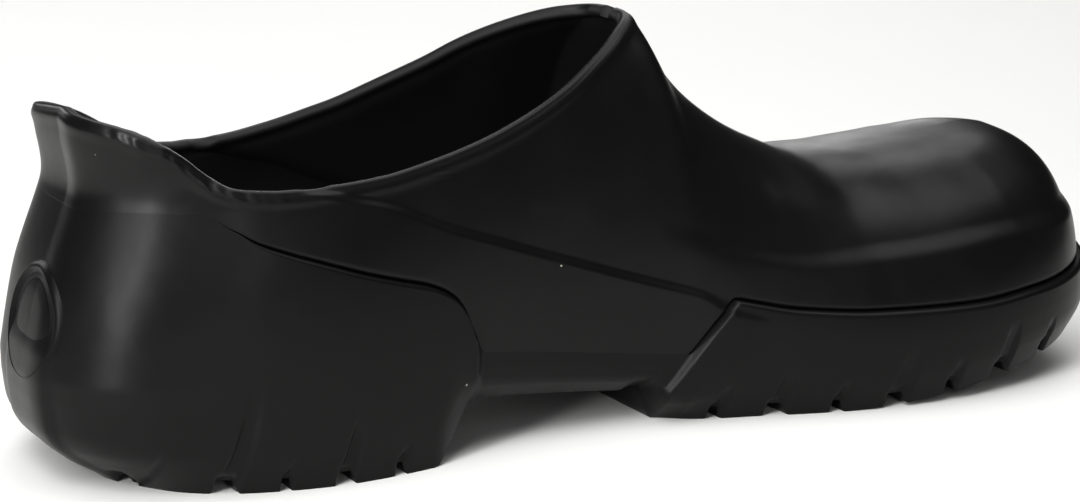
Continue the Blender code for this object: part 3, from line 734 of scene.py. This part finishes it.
def upper_rows(side, stations):
    """Outer skin of the upper on one side, from inside the outsole's wrap up to the collar or the spine."""
    tops = top_stations(stations)
    edge = block_height(stations)
    proud = sole_outset(stations, edge)
    edge = edge + SEAM * smooth(0.0, 0.0004, proud)
    rim_turn = height_to_turn(tops, rim_height(side, tops) - RIM_ROUND)
    rim_turn = np.where(stations >= TURN_STATION, math.pi / 2, rim_turn)
    edge_turn = height_to_turn(stations, edge)
    crease = crease_height(stations)
    low = np.clip(height_to_turn(stations, crease - CREASE_HALF), edge_turn + 0.02, rim_turn - 0.06)
    high = np.clip(height_to_turn(stations, crease + CREASE_HALF), low + 0.02, rim_turn - 0.04)
    rows = [
        low_wall(side, stations, edge - 2 * SEAM, REBATE),
        low_wall(side, stations, edge, REBATE / 2),
    ]
    for share in np.linspace(0.0, 1.0, LOW_ROWS, endpoint=False) ** 1.8:
        turn = edge_turn + (low - edge_turn) * share
        rise = (turn - edge_turn) * (body_top(stations) - seat_height(stations))
        tuck = np.minimum(proud, EDGE_TUCK)
        fall = np.clip(1.0 - rise / np.maximum(tuck, 1e-5), 0.0, 1.0)
        rows.append(body_point(side, stations, turn, tuck * (1.0 - np.sqrt(1.0 - fall * fall))))
    for share in np.linspace(0.0, 1.0, CREASE_ROWS, endpoint=False):
        rows.append(body_point(side, stations, low + (high - low) * share))
    wall = np.linspace(0.0, 0.9, WALL_ROWS, endpoint=False)
    for share in np.concatenate([wall, np.linspace(0.9, 1.0, RIM_ROWS)]):
        rows.append(body_point(side, stations + (tops - stations) * share, high + (rim_turn - high) * share))
    return np.stack(rows, axis=1)


def sole_outset(station, height):
    """How far the sole's side stands proud of the wall above it."""
    heel = 1.0 - smooth(BLOCK_FRONT, BLOCK_FRONT + BREAST_SOFT, station)
    back = 1.0 - fade(BACK_ZONE, station)
    heel = heel * (1.0 - back * smooth(BACK_FLUSH * COUNTER_HEIGHT, COUNTER_HEIGHT, height))
    start = SLAB_START - DIAGONAL_SOFT + EDGE_LEAN * (height - SLAB_STEP) / (STEP_HEIGHT - SLAB_STEP)
    return HEEL_PROUD * heel + FORE_PROUD * smooth(start, start + DIAGONAL_SOFT, station)


def flute_depth(along, height):
    """Depth of the side flutes at a distance along the shoe and a height over the bottom edge."""
    share = bpy.context.scene.clog_sizes.flute_share
    depth = np.zeros(np.broadcast(along, height).shape)
    for foot, rise, half, deep in HEEL_FLUTES + FORE_FLUTES:
        centre = foot * LENGTH + FLUTE_LEAN * height
        width = half * (1.0 - 0.45 * np.clip(height / rise, 0.0, 1.0))
        across = (along - centre) / width
        left = smooth(-1.25, -0.85, across)
        right = 1.0 - smooth(0.70, 1.35, across)
        depth += share * deep * left * right * (1.0 - smooth(0.45 * rise, rise, height))
    return depth


def tread_rise(along):
    """How far the bottom edge and the tread rise where a groove crosses them."""
    rise = np.zeros(np.shape(along))
    for foot, _rise, half, _deep in HEEL_FLUTES + FORE_FLUTES:
        across = np.abs(along - foot * LENGTH) / half
        rise += GROOVE_DEPTH * (1.0 - smooth(0.75, 1.15, across))
    return rise


def keel_depth(points):
    """How far the band down the back of the heel stands proud, under the medallion."""
    across = np.abs(points[..., 1]) / KEEL_HALF
    height = points[..., 2]
    zone = smooth(0.001, KEEL_ROUND, height) * (1.0 - smooth(BOSS_HEIGHT - KEEL_ROUND, BOSS_HEIGHT, height))
    return KEEL_PROUD * zone * (1.0 - smooth(0.86, 1.06, across)) * (points[..., 0] < HEEL_CENTRE)


def sole_point(side, station, height, inset=0.0):
    """Point of the sole's side at a height, also below the seat."""
    seat = seat_height(station)
    point = low_wall(side, station, np.maximum(height, seat), inset - sole_outset(station, height))
    return np.concatenate([point[..., :2], np.broadcast_to(height, station.shape)[..., None]], axis=-1)


def sole_rows(side, stations):
    """Skin of the outsole on one side, from the tread's middle round to the seat's middle."""
    seat = seat_height(stations)
    edge = block_height(stations)
    edge = edge - SEAM * smooth(0.0, 0.0004, sole_outset(stations, edge))
    inset = read_table(EDGE_INSET_LINE, stations) * EDGE_INSET
    axis = np.stack(column_axis(stations), axis=-1)
    foot = sole_point(side, stations, seat, inset)
    low = bottom_height(foot[:, 0])
    rise = np.minimum(EDGE_RISE, 0.7 * (edge - low))
    proud = sole_outset(stations, edge)
    bend = np.clip(0.7 * proud, 0.00003, 0.0013)
    side_rows = []
    for share in (*np.linspace(0.0, 1.0, SIDE_ROWS)[:-1], 0.998, 1.0):
        height = low + (edge - bend - low) * share ** 1.15
        lean = read_table(EDGE_PROFILE, (height - low) / rise, 1.0)
        side_rows.append(sole_point(side, stations, height, inset * lean))
    skin = np.stack(side_rows, axis=1)
    notch = tread_rise(skin[:, :1, 0]) * (1.0 - smooth(0.0, 0.006, skin[..., 2] - low[:, None]))
    depth = flute_depth(skin[..., 0], skin[..., 2] - low[:, None])
    centre_x = np.clip(skin[..., 0], HEEL_CENTRE, TOE_CENTRE)
    centre_y = np.broadcast_to(axis[:, None, 1], centre_x.shape)
    away = unit(skin[..., :2] - np.stack([centre_x, centre_y], axis=-1))
    skin[..., :2] += away * (keel_depth(skin) - depth)[..., None]
    skin[..., 2] += notch
    tread = []
    for share in np.linspace(0.0, 1.0, TREAD_ROWS, endpoint=False):
        flat = axis + (skin[:, 0, :2] - axis) * share
        height = bottom_height(flat[:, 0]) + tread_rise(flat[:, 0])
        tread.append(np.concatenate([flat, height[:, None]], axis=-1))
    top = []
    for turn in np.linspace(0.0, math.pi / 2, 6)[1:]:
        inward = bend * (1.0 - math.cos(turn))
        top.append(sole_point(side, stations, edge - bend + bend * math.sin(turn), 0.0))
        top[-1][:, :2] -= away[:, -1] * inward[:, None]
    lining = REBATE - SEAM
    inner = [low_wall(side, stations, edge, lining), low_wall(side, stations, seat, lining)]
    middle = np.concatenate([axis, seat[:, None]], axis=-1)
    return np.concatenate([np.stack(tread, axis=1), skin, np.stack(top + inner + [middle], axis=1)], axis=1)


def heel_back(across, height):
    """X of the sole's back at a distance from the middle and a height."""
    stations = np.linspace(0.0, HEEL_CENTRE, 80)
    line = sole_point(1 if across >= 0 else -1, stations, np.full(80, height))
    return np.interp(abs(across), np.abs(line[:, 1]), line[:, 0])


def footbed_rows(side, stations):
    """Skin of the footbed on one side, from the middle of its underside to the middle of its top."""
    seat = seat_height(stations) + SEAM
    cup = HEEL_CUP * (1.0 - fade(CUP_ZONE, stations))
    top = seat + INSOLE_THICKNESS - SEAM
    axis = np.stack(column_axis(stations), axis=-1)
    rim = low_wall(side, stations, top + cup, WALL_LOW + INSOLE_CLEARANCE)
    foot = np.concatenate([rim[:, :2], seat[:, None]], axis=-1)
    rows = [np.concatenate([axis, seat[:, None]], axis=-1), foot]
    for share, lift in zip(*profile_shares(CUP_PROFILE, FOOTBED_ROWS)):
        flat = rim[:, :2] + (axis - rim[:, :2]) * share
        rows.append(np.concatenate([flat, (top + cup * lift)[:, None]], axis=-1))
    return np.stack(rows, axis=1)


def profile_shares(table, count):
    """Places along a table, closer together near its start, and its values there."""
    places = np.linspace(0.0, 1.0, count) ** 1.6
    return places, read_table(table, places, 1.0)


def grid_quads(columns, rows, closed_rows):
    """Corners of the faces of a grid whose columns run once round the shoe, one face per column and row."""
    column = np.arange(columns)[:, None]
    row = np.arange(rows if closed_rows else rows - 1)[None, :]
    right = (column + 1) % columns
    above = (row + 1) % rows
    here, beside = column * rows, right * rows
    return np.stack([here + row, beside + row, beside + above, here + above], axis=-1)


def clog_mesh(name, grid, closed_rows=False, keep=None, second=None):
    """Welded mesh of a grid, moved to the origin of the part. Keep drops faces, second marks the lining's."""
    columns, rows = grid.shape[:2]
    quads = grid_quads(columns, rows, closed_rows)
    keep = np.ones(quads.shape[:2], dtype=bool) if keep is None else keep
    mesh = bpy.data.meshes.new(name)
    mesh.from_pydata((grid - MIDDLE).reshape(-1, 3).tolist(), [], quads[keep].tolist())
    if second is not None:
        mesh.polygons.foreach_set("material_index", second[keep].astype(np.int32))
    shape = bmesh.new()
    shape.from_mesh(mesh)
    bmesh.ops.remove_doubles(shape, verts=shape.verts, dist=0.000012)
    bmesh.ops.delete(shape, geom=[v for v in shape.verts if not v.link_faces], context="VERTS")
    shape.to_mesh(mesh)
    shape.free()
    mesh.shade_smooth()
    return mesh


def add_piece(name, mesh, materials, slot, *replaced):
    """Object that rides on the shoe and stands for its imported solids."""
    piece = bpy.data.objects.new(name, mesh)
    bpy.context.scene.collection.objects.link(piece)
    for material in materials:
        mesh.materials.append(material)
    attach(piece, "root")
    if replaced:
        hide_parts(*replaced)


def linear(hex_colour):
    """Linear colour of an sRGB hex value."""
    levels = [int(hex_colour[i:i + 2], 16) / 255 for i in (1, 3, 5)]
    return tuple(v / 12.92 if v <= 0.04045 else ((v + 0.055) / 1.055) ** 2.4 for v in levels)


def tint(colour, share=1.0):
    """Socket value of a linear colour, darkened or lightened by a share."""
    return (*[min(share * level, 1.0) for level in colour], 1.0)


def set_inputs(tree, node, inputs):
    """Gives a node's inputs plain values or the sockets that feed them."""
    for socket, value in inputs.items():
        if isinstance(value, bpy.types.NodeSocket):
            tree.links.new(value, node.inputs[socket])
        else:
            node.inputs[socket].default_value = value


def add_node(tree, kind, inputs=None, **settings):
    """Adds a node with its settings and inputs."""
    made = tree.nodes.new(kind)
    for name, value in settings.items():
        setattr(made, name, value)
    set_inputs(tree, made, inputs or {})
    return made


def noise(tree, place, size, detail, roughness=0.5):
    """Cloudy pattern of a real size."""
    inputs = {"Vector": place, "Scale": 1 / size, "Detail": detail, "Roughness": roughness}
    return add_node(tree, "ShaderNodeTexNoise", inputs).outputs["Fac"]


def spread(tree, value, low, high, out_low, out_high):
    """Value between two levels, spread out between two others."""
    inputs = {"Value": value, "From Min": low, "From Max": high, "To Min": out_low, "To Max": out_high}
    return add_node(tree, "ShaderNodeMapRange", inputs).outputs["Result"]


def combine(tree, operation, first, second):
    """Result of an operation on two values."""
    return add_node(tree, "ShaderNodeMath", {0: first, 1: second}, operation=operation).outputs["Value"]


def mix(tree, share, first, second):
    """Blend from one colour to another."""
    inputs = {"Factor": share, "A": first, "B": second}
    return add_node(tree, "ShaderNodeMix", inputs, data_type="RGBA").outputs["Result"]


def relief(tree, height, strength, depth, under=None):
    """Normal of a relief of a real depth, on top of another one."""
    inputs = {"Height": height, "Strength": strength, "Distance": depth}
    if under is not None:
        inputs["Normal"] = under
    return add_node(tree, "ShaderNodeBump", inputs).outputs["Normal"]


def new_material(name):
    """Empty material with its shader and the coordinates of the shoe."""
    material = bpy.data.materials.new(name)
    material.use_nodes = True
    tree = material.node_tree
    tree.nodes.clear()
    shader = add_node(tree, "ShaderNodeBsdfPrincipled")
    add_node(tree, "ShaderNodeOutputMaterial", {"Surface": shader.outputs["BSDF"]})
    place = add_node(tree, "ShaderNodeTexCoord").outputs["Object"]
    return material, tree, shader, place


def moulded_polyurethane(name, colour, roughness, gloss, grain, dust):
    """Black polyurethane foam with a dense skin, cast in a sand-blasted and polished mould.

    The skin takes the mould's fine matt grain, so highlights are wide and soft. It swells a little unevenly
    as it cures, so they also wander, and hands and floor dust leave faint smears and single bright specks.
    """
    material, tree, shader, place = new_material(name)
    smear = noise(tree, place, SMEAR_SIZE, 5.0, 0.62)
    swell = relief(tree, noise(tree, place, SWELL_SIZE, 2.0), 0.35, 0.0004)
    cell = add_node(tree, "ShaderNodeTexVoronoi", {"Vector": place, "Scale": 1 / DUST_CELL})
    chance = add_node(tree, "ShaderNodeSeparateColor", {"Color": cell.outputs["Color"]}).outputs["Red"]
    speck = spread(tree, cell.outputs["Distance"], 0.016, 0.026, 1.0, 0.0)
    speck = combine(tree, "MULTIPLY", speck, combine(tree, "GREATER_THAN", chance, 1.0 - dust))
    skin = mix(tree, spread(tree, smear, 0.52, 0.74, 0.0, 0.35), tint(colour), tint(colour, 1.7))
    set_inputs(tree, shader, {
        "Base Color": mix(tree, speck, skin, tint(linear("#a9a59c"))),
        "Roughness": spread(tree, smear, 0.3, 0.7, roughness - 0.05, roughness + 0.06),
        "IOR": 1.5,
        "Specular IOR Level": gloss,
        "Normal": relief(tree, noise(tree, place, grain, 3.0, 0.6), 0.25, 0.00006, swell),
    })
    return material


def woven_textile(name, colour):
    """Polyester textile bonded over the footbed's foam, plain woven and slightly fuzzy.

    The threads are a little coarser than real ones, so that they show in the render. A wave texture has
    ten bands to each pi of its scaled coordinate.
    """
    material, tree, shader, place = new_material(name)
    thread = {"Vector": place, "Scale": math.pi / 10 / THREAD_SPACING, "Distortion": 0.3}
    warp = add_node(tree, "ShaderNodeTexWave", thread, bands_direction="X").outputs["Fac"]
    weft = add_node(tree, "ShaderNodeTexWave", thread, bands_direction="Y").outputs["Fac"]
    weave = combine(tree, "MULTIPLY", warp, weft)
    worn = mix(tree, noise(tree, place, WEAR_SIZE, 4.0), tint(colour, 0.7), tint(colour, 1.5))
    set_inputs(tree, shader, {
        "Base Color": mix(tree, weave, tint(colour, 0.5), worn),
        "Roughness": 0.9,
        "Sheen Weight": 0.25,
        "Sheen Roughness": 0.5,
        "Normal": relief(tree, weave, 0.6, 0.0002),
    })
    return material


def studio_paper(name, colour):
    """Pale seamless paper, matt, with the faint mottle of its fibres."""
    material, tree, shader, place = new_material(name)
    fibre = noise(tree, place, PAPER_MOTTLE, 3.0)
    set_inputs(tree, shader, {
        "Base Color": mix(tree, fibre, tint(colour), tint(colour, 1.03)),
        "Roughness": 0.95,
        "Specular IOR Level": 0.2,
    })
    return material


def length_setting(name, description, metres, low=0.0):
    """Length property."""
    return FloatProperty(name=name, description=description, default=metres, min=low, unit="LENGTH")


class ClogSizes(PropertyGroup):
    """Sizes of the finish."""

    trough_depth: length_setting("Heel trough", "Depth of the upright trough beside the heel counter", 0.0008)
    rim_bead: length_setting("Rim bead", "How far the collar's rolled edge stands proud", 0.0005)
    flash: length_setting("Mould flash", "Height of the torn flash along the collar beside the heel", 0.0004)
    crease_step: length_setting("Wall step", "How far the lower wall stands proud of the quarter", 0.0011)
    crease_soft: length_setting("Wall softness", "Half height of the step at the wall's edge", 0.0011, 0.0001)
    ridge_step: length_setting("Toe ridge step", "How far the band under the toe cap stands proud", 0.0015)
    ridge_soft: length_setting("Toe softness", "Half height of the step round the toe cap", 0.0024, 0.0001)
    grain: length_setting("Mould grain", "Size of the mould's blasted grain", 0.00045, 0.0001)
    flute_share: FloatProperty(
        name="Flute depth", description="Depth of the side flutes as a share of the usual one",
        default=1.0, min=0.0, max=2.0)
    upper_columns: IntProperty(
        name="Upper columns", description="Columns of the upper on each side", default=330, min=60)
    sole_columns: IntProperty(
        name="Sole columns", description="Columns of the outsole on each side", default=430, min=60)


def colour_setting(name, description, hex_colour):
    """Colour property in linear light."""
    return FloatVectorProperty(
        name=name, description=description, subtype="COLOR", size=3, min=0.0, max=1.0,
        default=linear(hex_colour))


class ClogColours(PropertyGroup):
    """Colours of the finish."""

    upper: colour_setting("Upper", "Polyurethane skin of the upper", "#0b0b0b")
    lining: colour_setting("Lining", "Inner face of the upper", "#0c0c0c")
    sole: colour_setting("Sole", "Polyurethane of the outsole and the medallion", "#0b0b0b")
    footbed: colour_setting("Footbed", "Textile cover of the footbed", "#2c2c2e")
    paper: colour_setting("Paper", "Paper that the shoe stands on", "#e4e4e2")


def collar_order(collar, outer_count):
    """Columns of the collar in order, from its front along the inner side, the heel and the outer side."""
    ring = np.flatnonzero(collar)
    return np.concatenate([ring[ring >= outer_count], ring[ring < outer_count]])


def spine_normals(station):
    """Upward directions of the body along its spine."""
    step = 0.0005
    slope = (body_top(station + step) - body_top(station - step)) / (2 * step)
    return unit(np.stack([-slope, np.zeros_like(slope), np.ones_like(slope)], axis=-1))


def collar_lift(skin, rim):
    """Height over the skin of the collar's bead and of the torn mould flash beside the heel."""
    sizes = bpy.context.scene.clog_sizes
    away = distance_to_path(skin, rim)[0]
    bead = sizes.rim_bead * np.exp(-((away - BEAD_PLACE) / BEAD_HALF) ** 2)
    along = skin[..., 0]
    torn = smooth(*FLASH_START, along) * (1.0 - smooth(*FLASH_END, along)) * (skin[..., 1] < 0)
    near = 1.0 - smooth(*FLASH_REACH, away)
    return bead + sizes.flash * torn * near * ripple(along + 0.3 * skin[..., 2], FLASH_WAVE)


def rolled_rim(outer, inner, normals, order):
    """Rows over the collar's edge, round from the outer skin to the lining."""
    top, low = outer[order], inner[order]
    along = unit(np.roll(top, -1, axis=0) - np.roll(top, 1, axis=0))
    along[[0, -1]] = (0.0, 1.0, 0.0)
    face = unit(top - low)
    up = unit(np.cross(along, normals[order]))
    thick = np.linalg.norm(top - low, axis=-1)[:, None]
    middle = (top + low) / 2
    rows = np.repeat(outer[:, None], RIM_STEPS, axis=1)
    for number in range(RIM_STEPS):
        turn = math.pi * (number + 1) / (RIM_STEPS + 1)
        across = math.copysign(abs(math.cos(turn)) ** 0.8, math.cos(turn))
        rows[order, number] = middle + face * thick / 2 * across + up * RIM_ROUND * math.sin(turn) ** 0.8
    return rows


class CLOG_OT_upper(Operator):
    """Builds the upper's outer skin, rolled collar edge and lining as one closed shell"""

    bl_idname = "clog.upper"
    bl_label = "Upper"

    def execute(self, context):
        sizes = context.scene.clog_sizes
        stations = {side: spread_stations(side, sizes.upper_columns, 1.0, 1.0, ()) for side in (1, -1)}
        for side in stations:
            stations[side][np.abs(stations[side] - TURN_STATION).argmin()] = TURN_STATION
        around = np.concatenate([stations[1], stations[-1][1:-1][::-1]])
        skin = ring_of(upper_rows, stations)
        normals = grid_normals(skin)
        collar = around <= TURN_STATION
        spine = around >= TURN_STATION
        normals[spine, -1] = spine_normals(np.minimum(top_stations(around[spine]), TOE_CENTRE))
        order = collar_order(collar, len(stations[1]))
        lift = collar_lift(skin, skin[order, -1])
        for crease in CREASES:
            lift = lift + crease_lift(skin, 1, crease) + crease_lift(skin, -1, crease)
        skin = skin + normals * lift[..., None]
        wall = WALL_LOW + (WALL - WALL_LOW) * smooth(0.0, 0.010, skin[..., 2] - block_height(around)[:, None])
        normals[:, :FOOT_ROWS] = normals[:, FOOT_ROWS:FOOT_ROWS + 1]
        inside = (skin - normals * wall[..., None])[:, :1:-1]
        rim = rolled_rim(skin[:, -1], inside[:, 0], normals[:, -1], order)
        lining = np.concatenate([inside[:, ::LINING_STEP], ring_of(lining_foot, stations)], axis=1)
        grid = np.concatenate([skin, rim, lining], axis=1)
        rows = np.arange(grid.shape[1])[None, :]
        over = (rows >= skin.shape[1] - 1) & (rows < skin.shape[1] + RIM_STEPS)
        pair = (collar & np.roll(collar, -1))[:, None]
        second = np.broadcast_to(rows >= skin.shape[1] + RIM_STEPS // 2, (len(around), grid.shape[1]))
        mesh = clog_mesh("upper_skin", grid, True, pair | ~over, second)
        mesh.set_sharp_from_angle(angle=CRISP_ANGLE)
        colours = context.scene.clog_colours
        outside = moulded_polyurethane("polyurethane_skin", colours.upper, 0.34, 0.17, sizes.grain, 0.9)
        within = moulded_polyurethane("polyurethane_lining", colours.lining, 0.55, 0.20, sizes.grain, 0.2)
        add_piece("upper_skin", mesh, (outside, within), "upper_foam", "upper")
        return {"FINISHED"}


def lining_foot(side, stations):
    """Foot of the lining, down beside the footbed."""
    return low_wall(side, stations, seat_height(stations) + 5 * SEAM, WALL_LOW)[:, None]


class CLOG_OT_outsole(Operator):
    """Builds the outsole with its wrap, side flutes, heel keel and tread as one closed solid"""

    bl_idname = "clog.outsole"
    bl_label = "Outsole"

    def execute(self, context):
        sizes = context.scene.clog_sizes
        zones = [(foot * LENGTH - half - 0.0015, foot * LENGTH + half + 0.0015 + FLUTE_LEAN * rise)
                 for foot, rise, half, _deep in HEEL_FLUTES + FORE_FLUTES]
        zones.append((BLOCK_FRONT - 0.001, BLOCK_FRONT + BREAST_SOFT + 0.001))
        zones.append((SLAB_START - 0.006, SLAB_START + EDGE_LEAN))
        stations = {side: spread_stations(side, sizes.sole_columns, 0.45, 1.5, zones) for side in (1, -1)}
        grid = ring_of(sole_rows, stations)
        mesh = clog_mesh("outsole_skin", grid)
        mesh.set_sharp_from_angle(angle=CRISP_ANGLE)
        colour = context.scene.clog_colours.sole
        rubbery = moulded_polyurethane("polyurethane_sole", colour, 0.36, 0.13, sizes.grain, 0.9)
        add_piece("outsole_skin", mesh, (rubbery,), "sole_foam", "outsole")
        return {"FINISHED"}


class CLOG_OT_medallion(Operator):
    """Builds the plain round medallion on the back of the heel: a raised ring round a sunk, domed disc"""

    bl_idname = "clog.medallion"
    bl_label = "Heel medallion"

    def execute(self, context):
        turns = np.linspace(0.0, 2 * math.pi, BOSS_TURNS, endpoint=False)
        radii = np.linspace(0.0, 1.0, BOSS_RINGS)
        height = read_table(MEDALLION_PROFILE, radii, 1.0) * BOSS_HEIGHT_STEP
        grid = np.zeros((len(turns), len(radii), 3))
        for i, turn in enumerate(turns):
            for j, radius in enumerate(radii):
                across = BOSS_RADIUS * radius * math.cos(turn) * BOSS_SPREAD
                level = BOSS_HEIGHT + BOSS_RADIUS * radius * math.sin(turn) * BOSS_SPREAD
                grid[i, j] = (heel_back(across, level) - height[j], across, level)
        mesh = clog_mesh("heel_medallion", grid)
        colour = context.scene.clog_colours.sole
        rubbery = moulded_polyurethane("polyurethane_medallion", colour, 0.36, 0.08, BOSS_GRAIN, 0.0)
        add_piece("heel_medallion", mesh, (rubbery,), "sole_foam")
        return {"FINISHED"}


class CLOG_OT_footbed(Operator):
    """Builds the loose footbed with its heel cup"""

    bl_idname = "clog.footbed"
    bl_label = "Footbed"

    def execute(self, context):
        stations = {side: spread_stations(side, FOOTBED_COLUMNS, 1.0, 1.0, ()) for side in (1, -1)}
        mesh = clog_mesh("footbed_skin", ring_of(footbed_rows, stations))
        cloth = woven_textile("polyester_footbed", context.scene.clog_colours.footbed)
        add_piece("footbed_skin", mesh, (cloth,), "footbed", "insole")
        return {"FINISHED"}


class CLOG_OT_stage(Operator):
    """Builds the floor, the studio lights and the camera at the photograph's angle"""

    bl_idname = "clog.stage"
    bl_label = "Stage"

    def execute(self, context):
        scene = context.scene
        floor = bpy.data.meshes.new("floor")
        corners = [(x * FLOOR_HALF, y * FLOOR_HALF, 0) for x, y in ((-1, -1), (1, -1), (1, 1), (-1, 1))]
        floor.from_pydata(corners, [], [(0, 1, 2, 3)])
        floor.materials.append(studio_paper("studio_paper", scene.clog_colours.paper))
        sheet = bpy.data.objects.new("floor", floor)
        scene.collection.objects.link(sheet)
        for name, azimuth, elevation, distance, size, power in LIGHTS:
            lamp = bpy.data.lights.new(name, "AREA")
            lamp.shape = "RECTANGLE"
            lamp.size, lamp.size_y = size
            lamp.energy = power
            thing = bpy.data.objects.new(name, lamp)
            scene.collection.objects.link(thing)
            away = direction(azimuth, elevation)
            thing.location = Vector(CAMERA_TARGET) + away * distance
            thing.rotation_euler = away.to_track_quat("Z", "Y").to_euler()
        world = bpy.data.worlds.new("studio")
        world.use_nodes = True
        world.node_tree.nodes["Background"].inputs["Color"].default_value = (*linear("#c8c8c8"), 1.0)
        world.node_tree.nodes["Background"].inputs["Strength"].default_value = WORLD_STRENGTH
        scene.world = world
        view = bpy.data.cameras.new("camera")
        view.sensor_width = 36.0
        view.lens = view.sensor_width * CAMERA_FOCAL / IMAGE_WIDTH
        view.clip_start = 0.01
        camera = bpy.data.objects.new("camera", view)
        scene.collection.objects.link(camera)
        back = direction(CAMERA_AZIMUTH, CAMERA_ELEVATION)
        camera.location = Vector(CAMERA_TARGET) + back * CAMERA_DISTANCE
        camera.rotation_euler = back.to_track_quat("Z", "Y").to_euler()
        scene.camera = camera
        scene.view_settings.view_transform = "Standard"
        return {"FINISHED"}


def direction(azimuth, elevation):
    """Direction away from the shoe: azimuth 0 is in front of the inner side, 90 beyond the toe."""
    a, e = math.radians(azimuth), math.radians(elevation)
    return Vector((math.sin(a) * math.cos(e), -math.cos(a) * math.cos(e), math.sin(e)))


class CLOG_PT_sidebar(Panel):
    """Lists the sizes, the colours and the pieces"""

    bl_idname = "CLOG_PT_sidebar"
    bl_label = "Chef Clog"
    bl_space_type = "VIEW_3D"
    bl_region_type = "UI"
    bl_category = "Chef Clog"

    def draw(self, context):
        column = self.layout.column()
        for group in (context.scene.clog_sizes, context.scene.clog_colours):
            for name in group.bl_rna.properties.keys():
                if name not in ("rna_type", "name"):
                    column.prop(group, name)
        for operator in OPERATORS:
            column.operator(operator.bl_idname)


OPERATORS = (CLOG_OT_upper, CLOG_OT_outsole, CLOG_OT_medallion, CLOG_OT_footbed, CLOG_OT_stage)
CLASSES = (ClogSizes, ClogColours, *OPERATORS, CLOG_PT_sidebar)


def register():
    """Registers the classes and hangs their settings on the scene."""
    for item in CLASSES:
        bpy.utils.register_class(item)
    bpy.types.Scene.clog_sizes = PointerProperty(type=ClogSizes)
    bpy.types.Scene.clog_colours = PointerProperty(type=ClogColours)


def unregister():
    """Takes the settings and the classes away again."""
    del bpy.types.Scene.clog_colours
    del bpy.types.Scene.clog_sizes
    for item in reversed(CLASSES):
        bpy.utils.unregister_class(item)


def main():
    """Builds every piece."""
    register()
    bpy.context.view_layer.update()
    bpy.ops.clog.upper()
    bpy.ops.clog.outsole()
    bpy.ops.clog.medallion()
    bpy.ops.clog.footbed()
    bpy.ops.clog.stage()


if __name__ == "__main__":
    main()
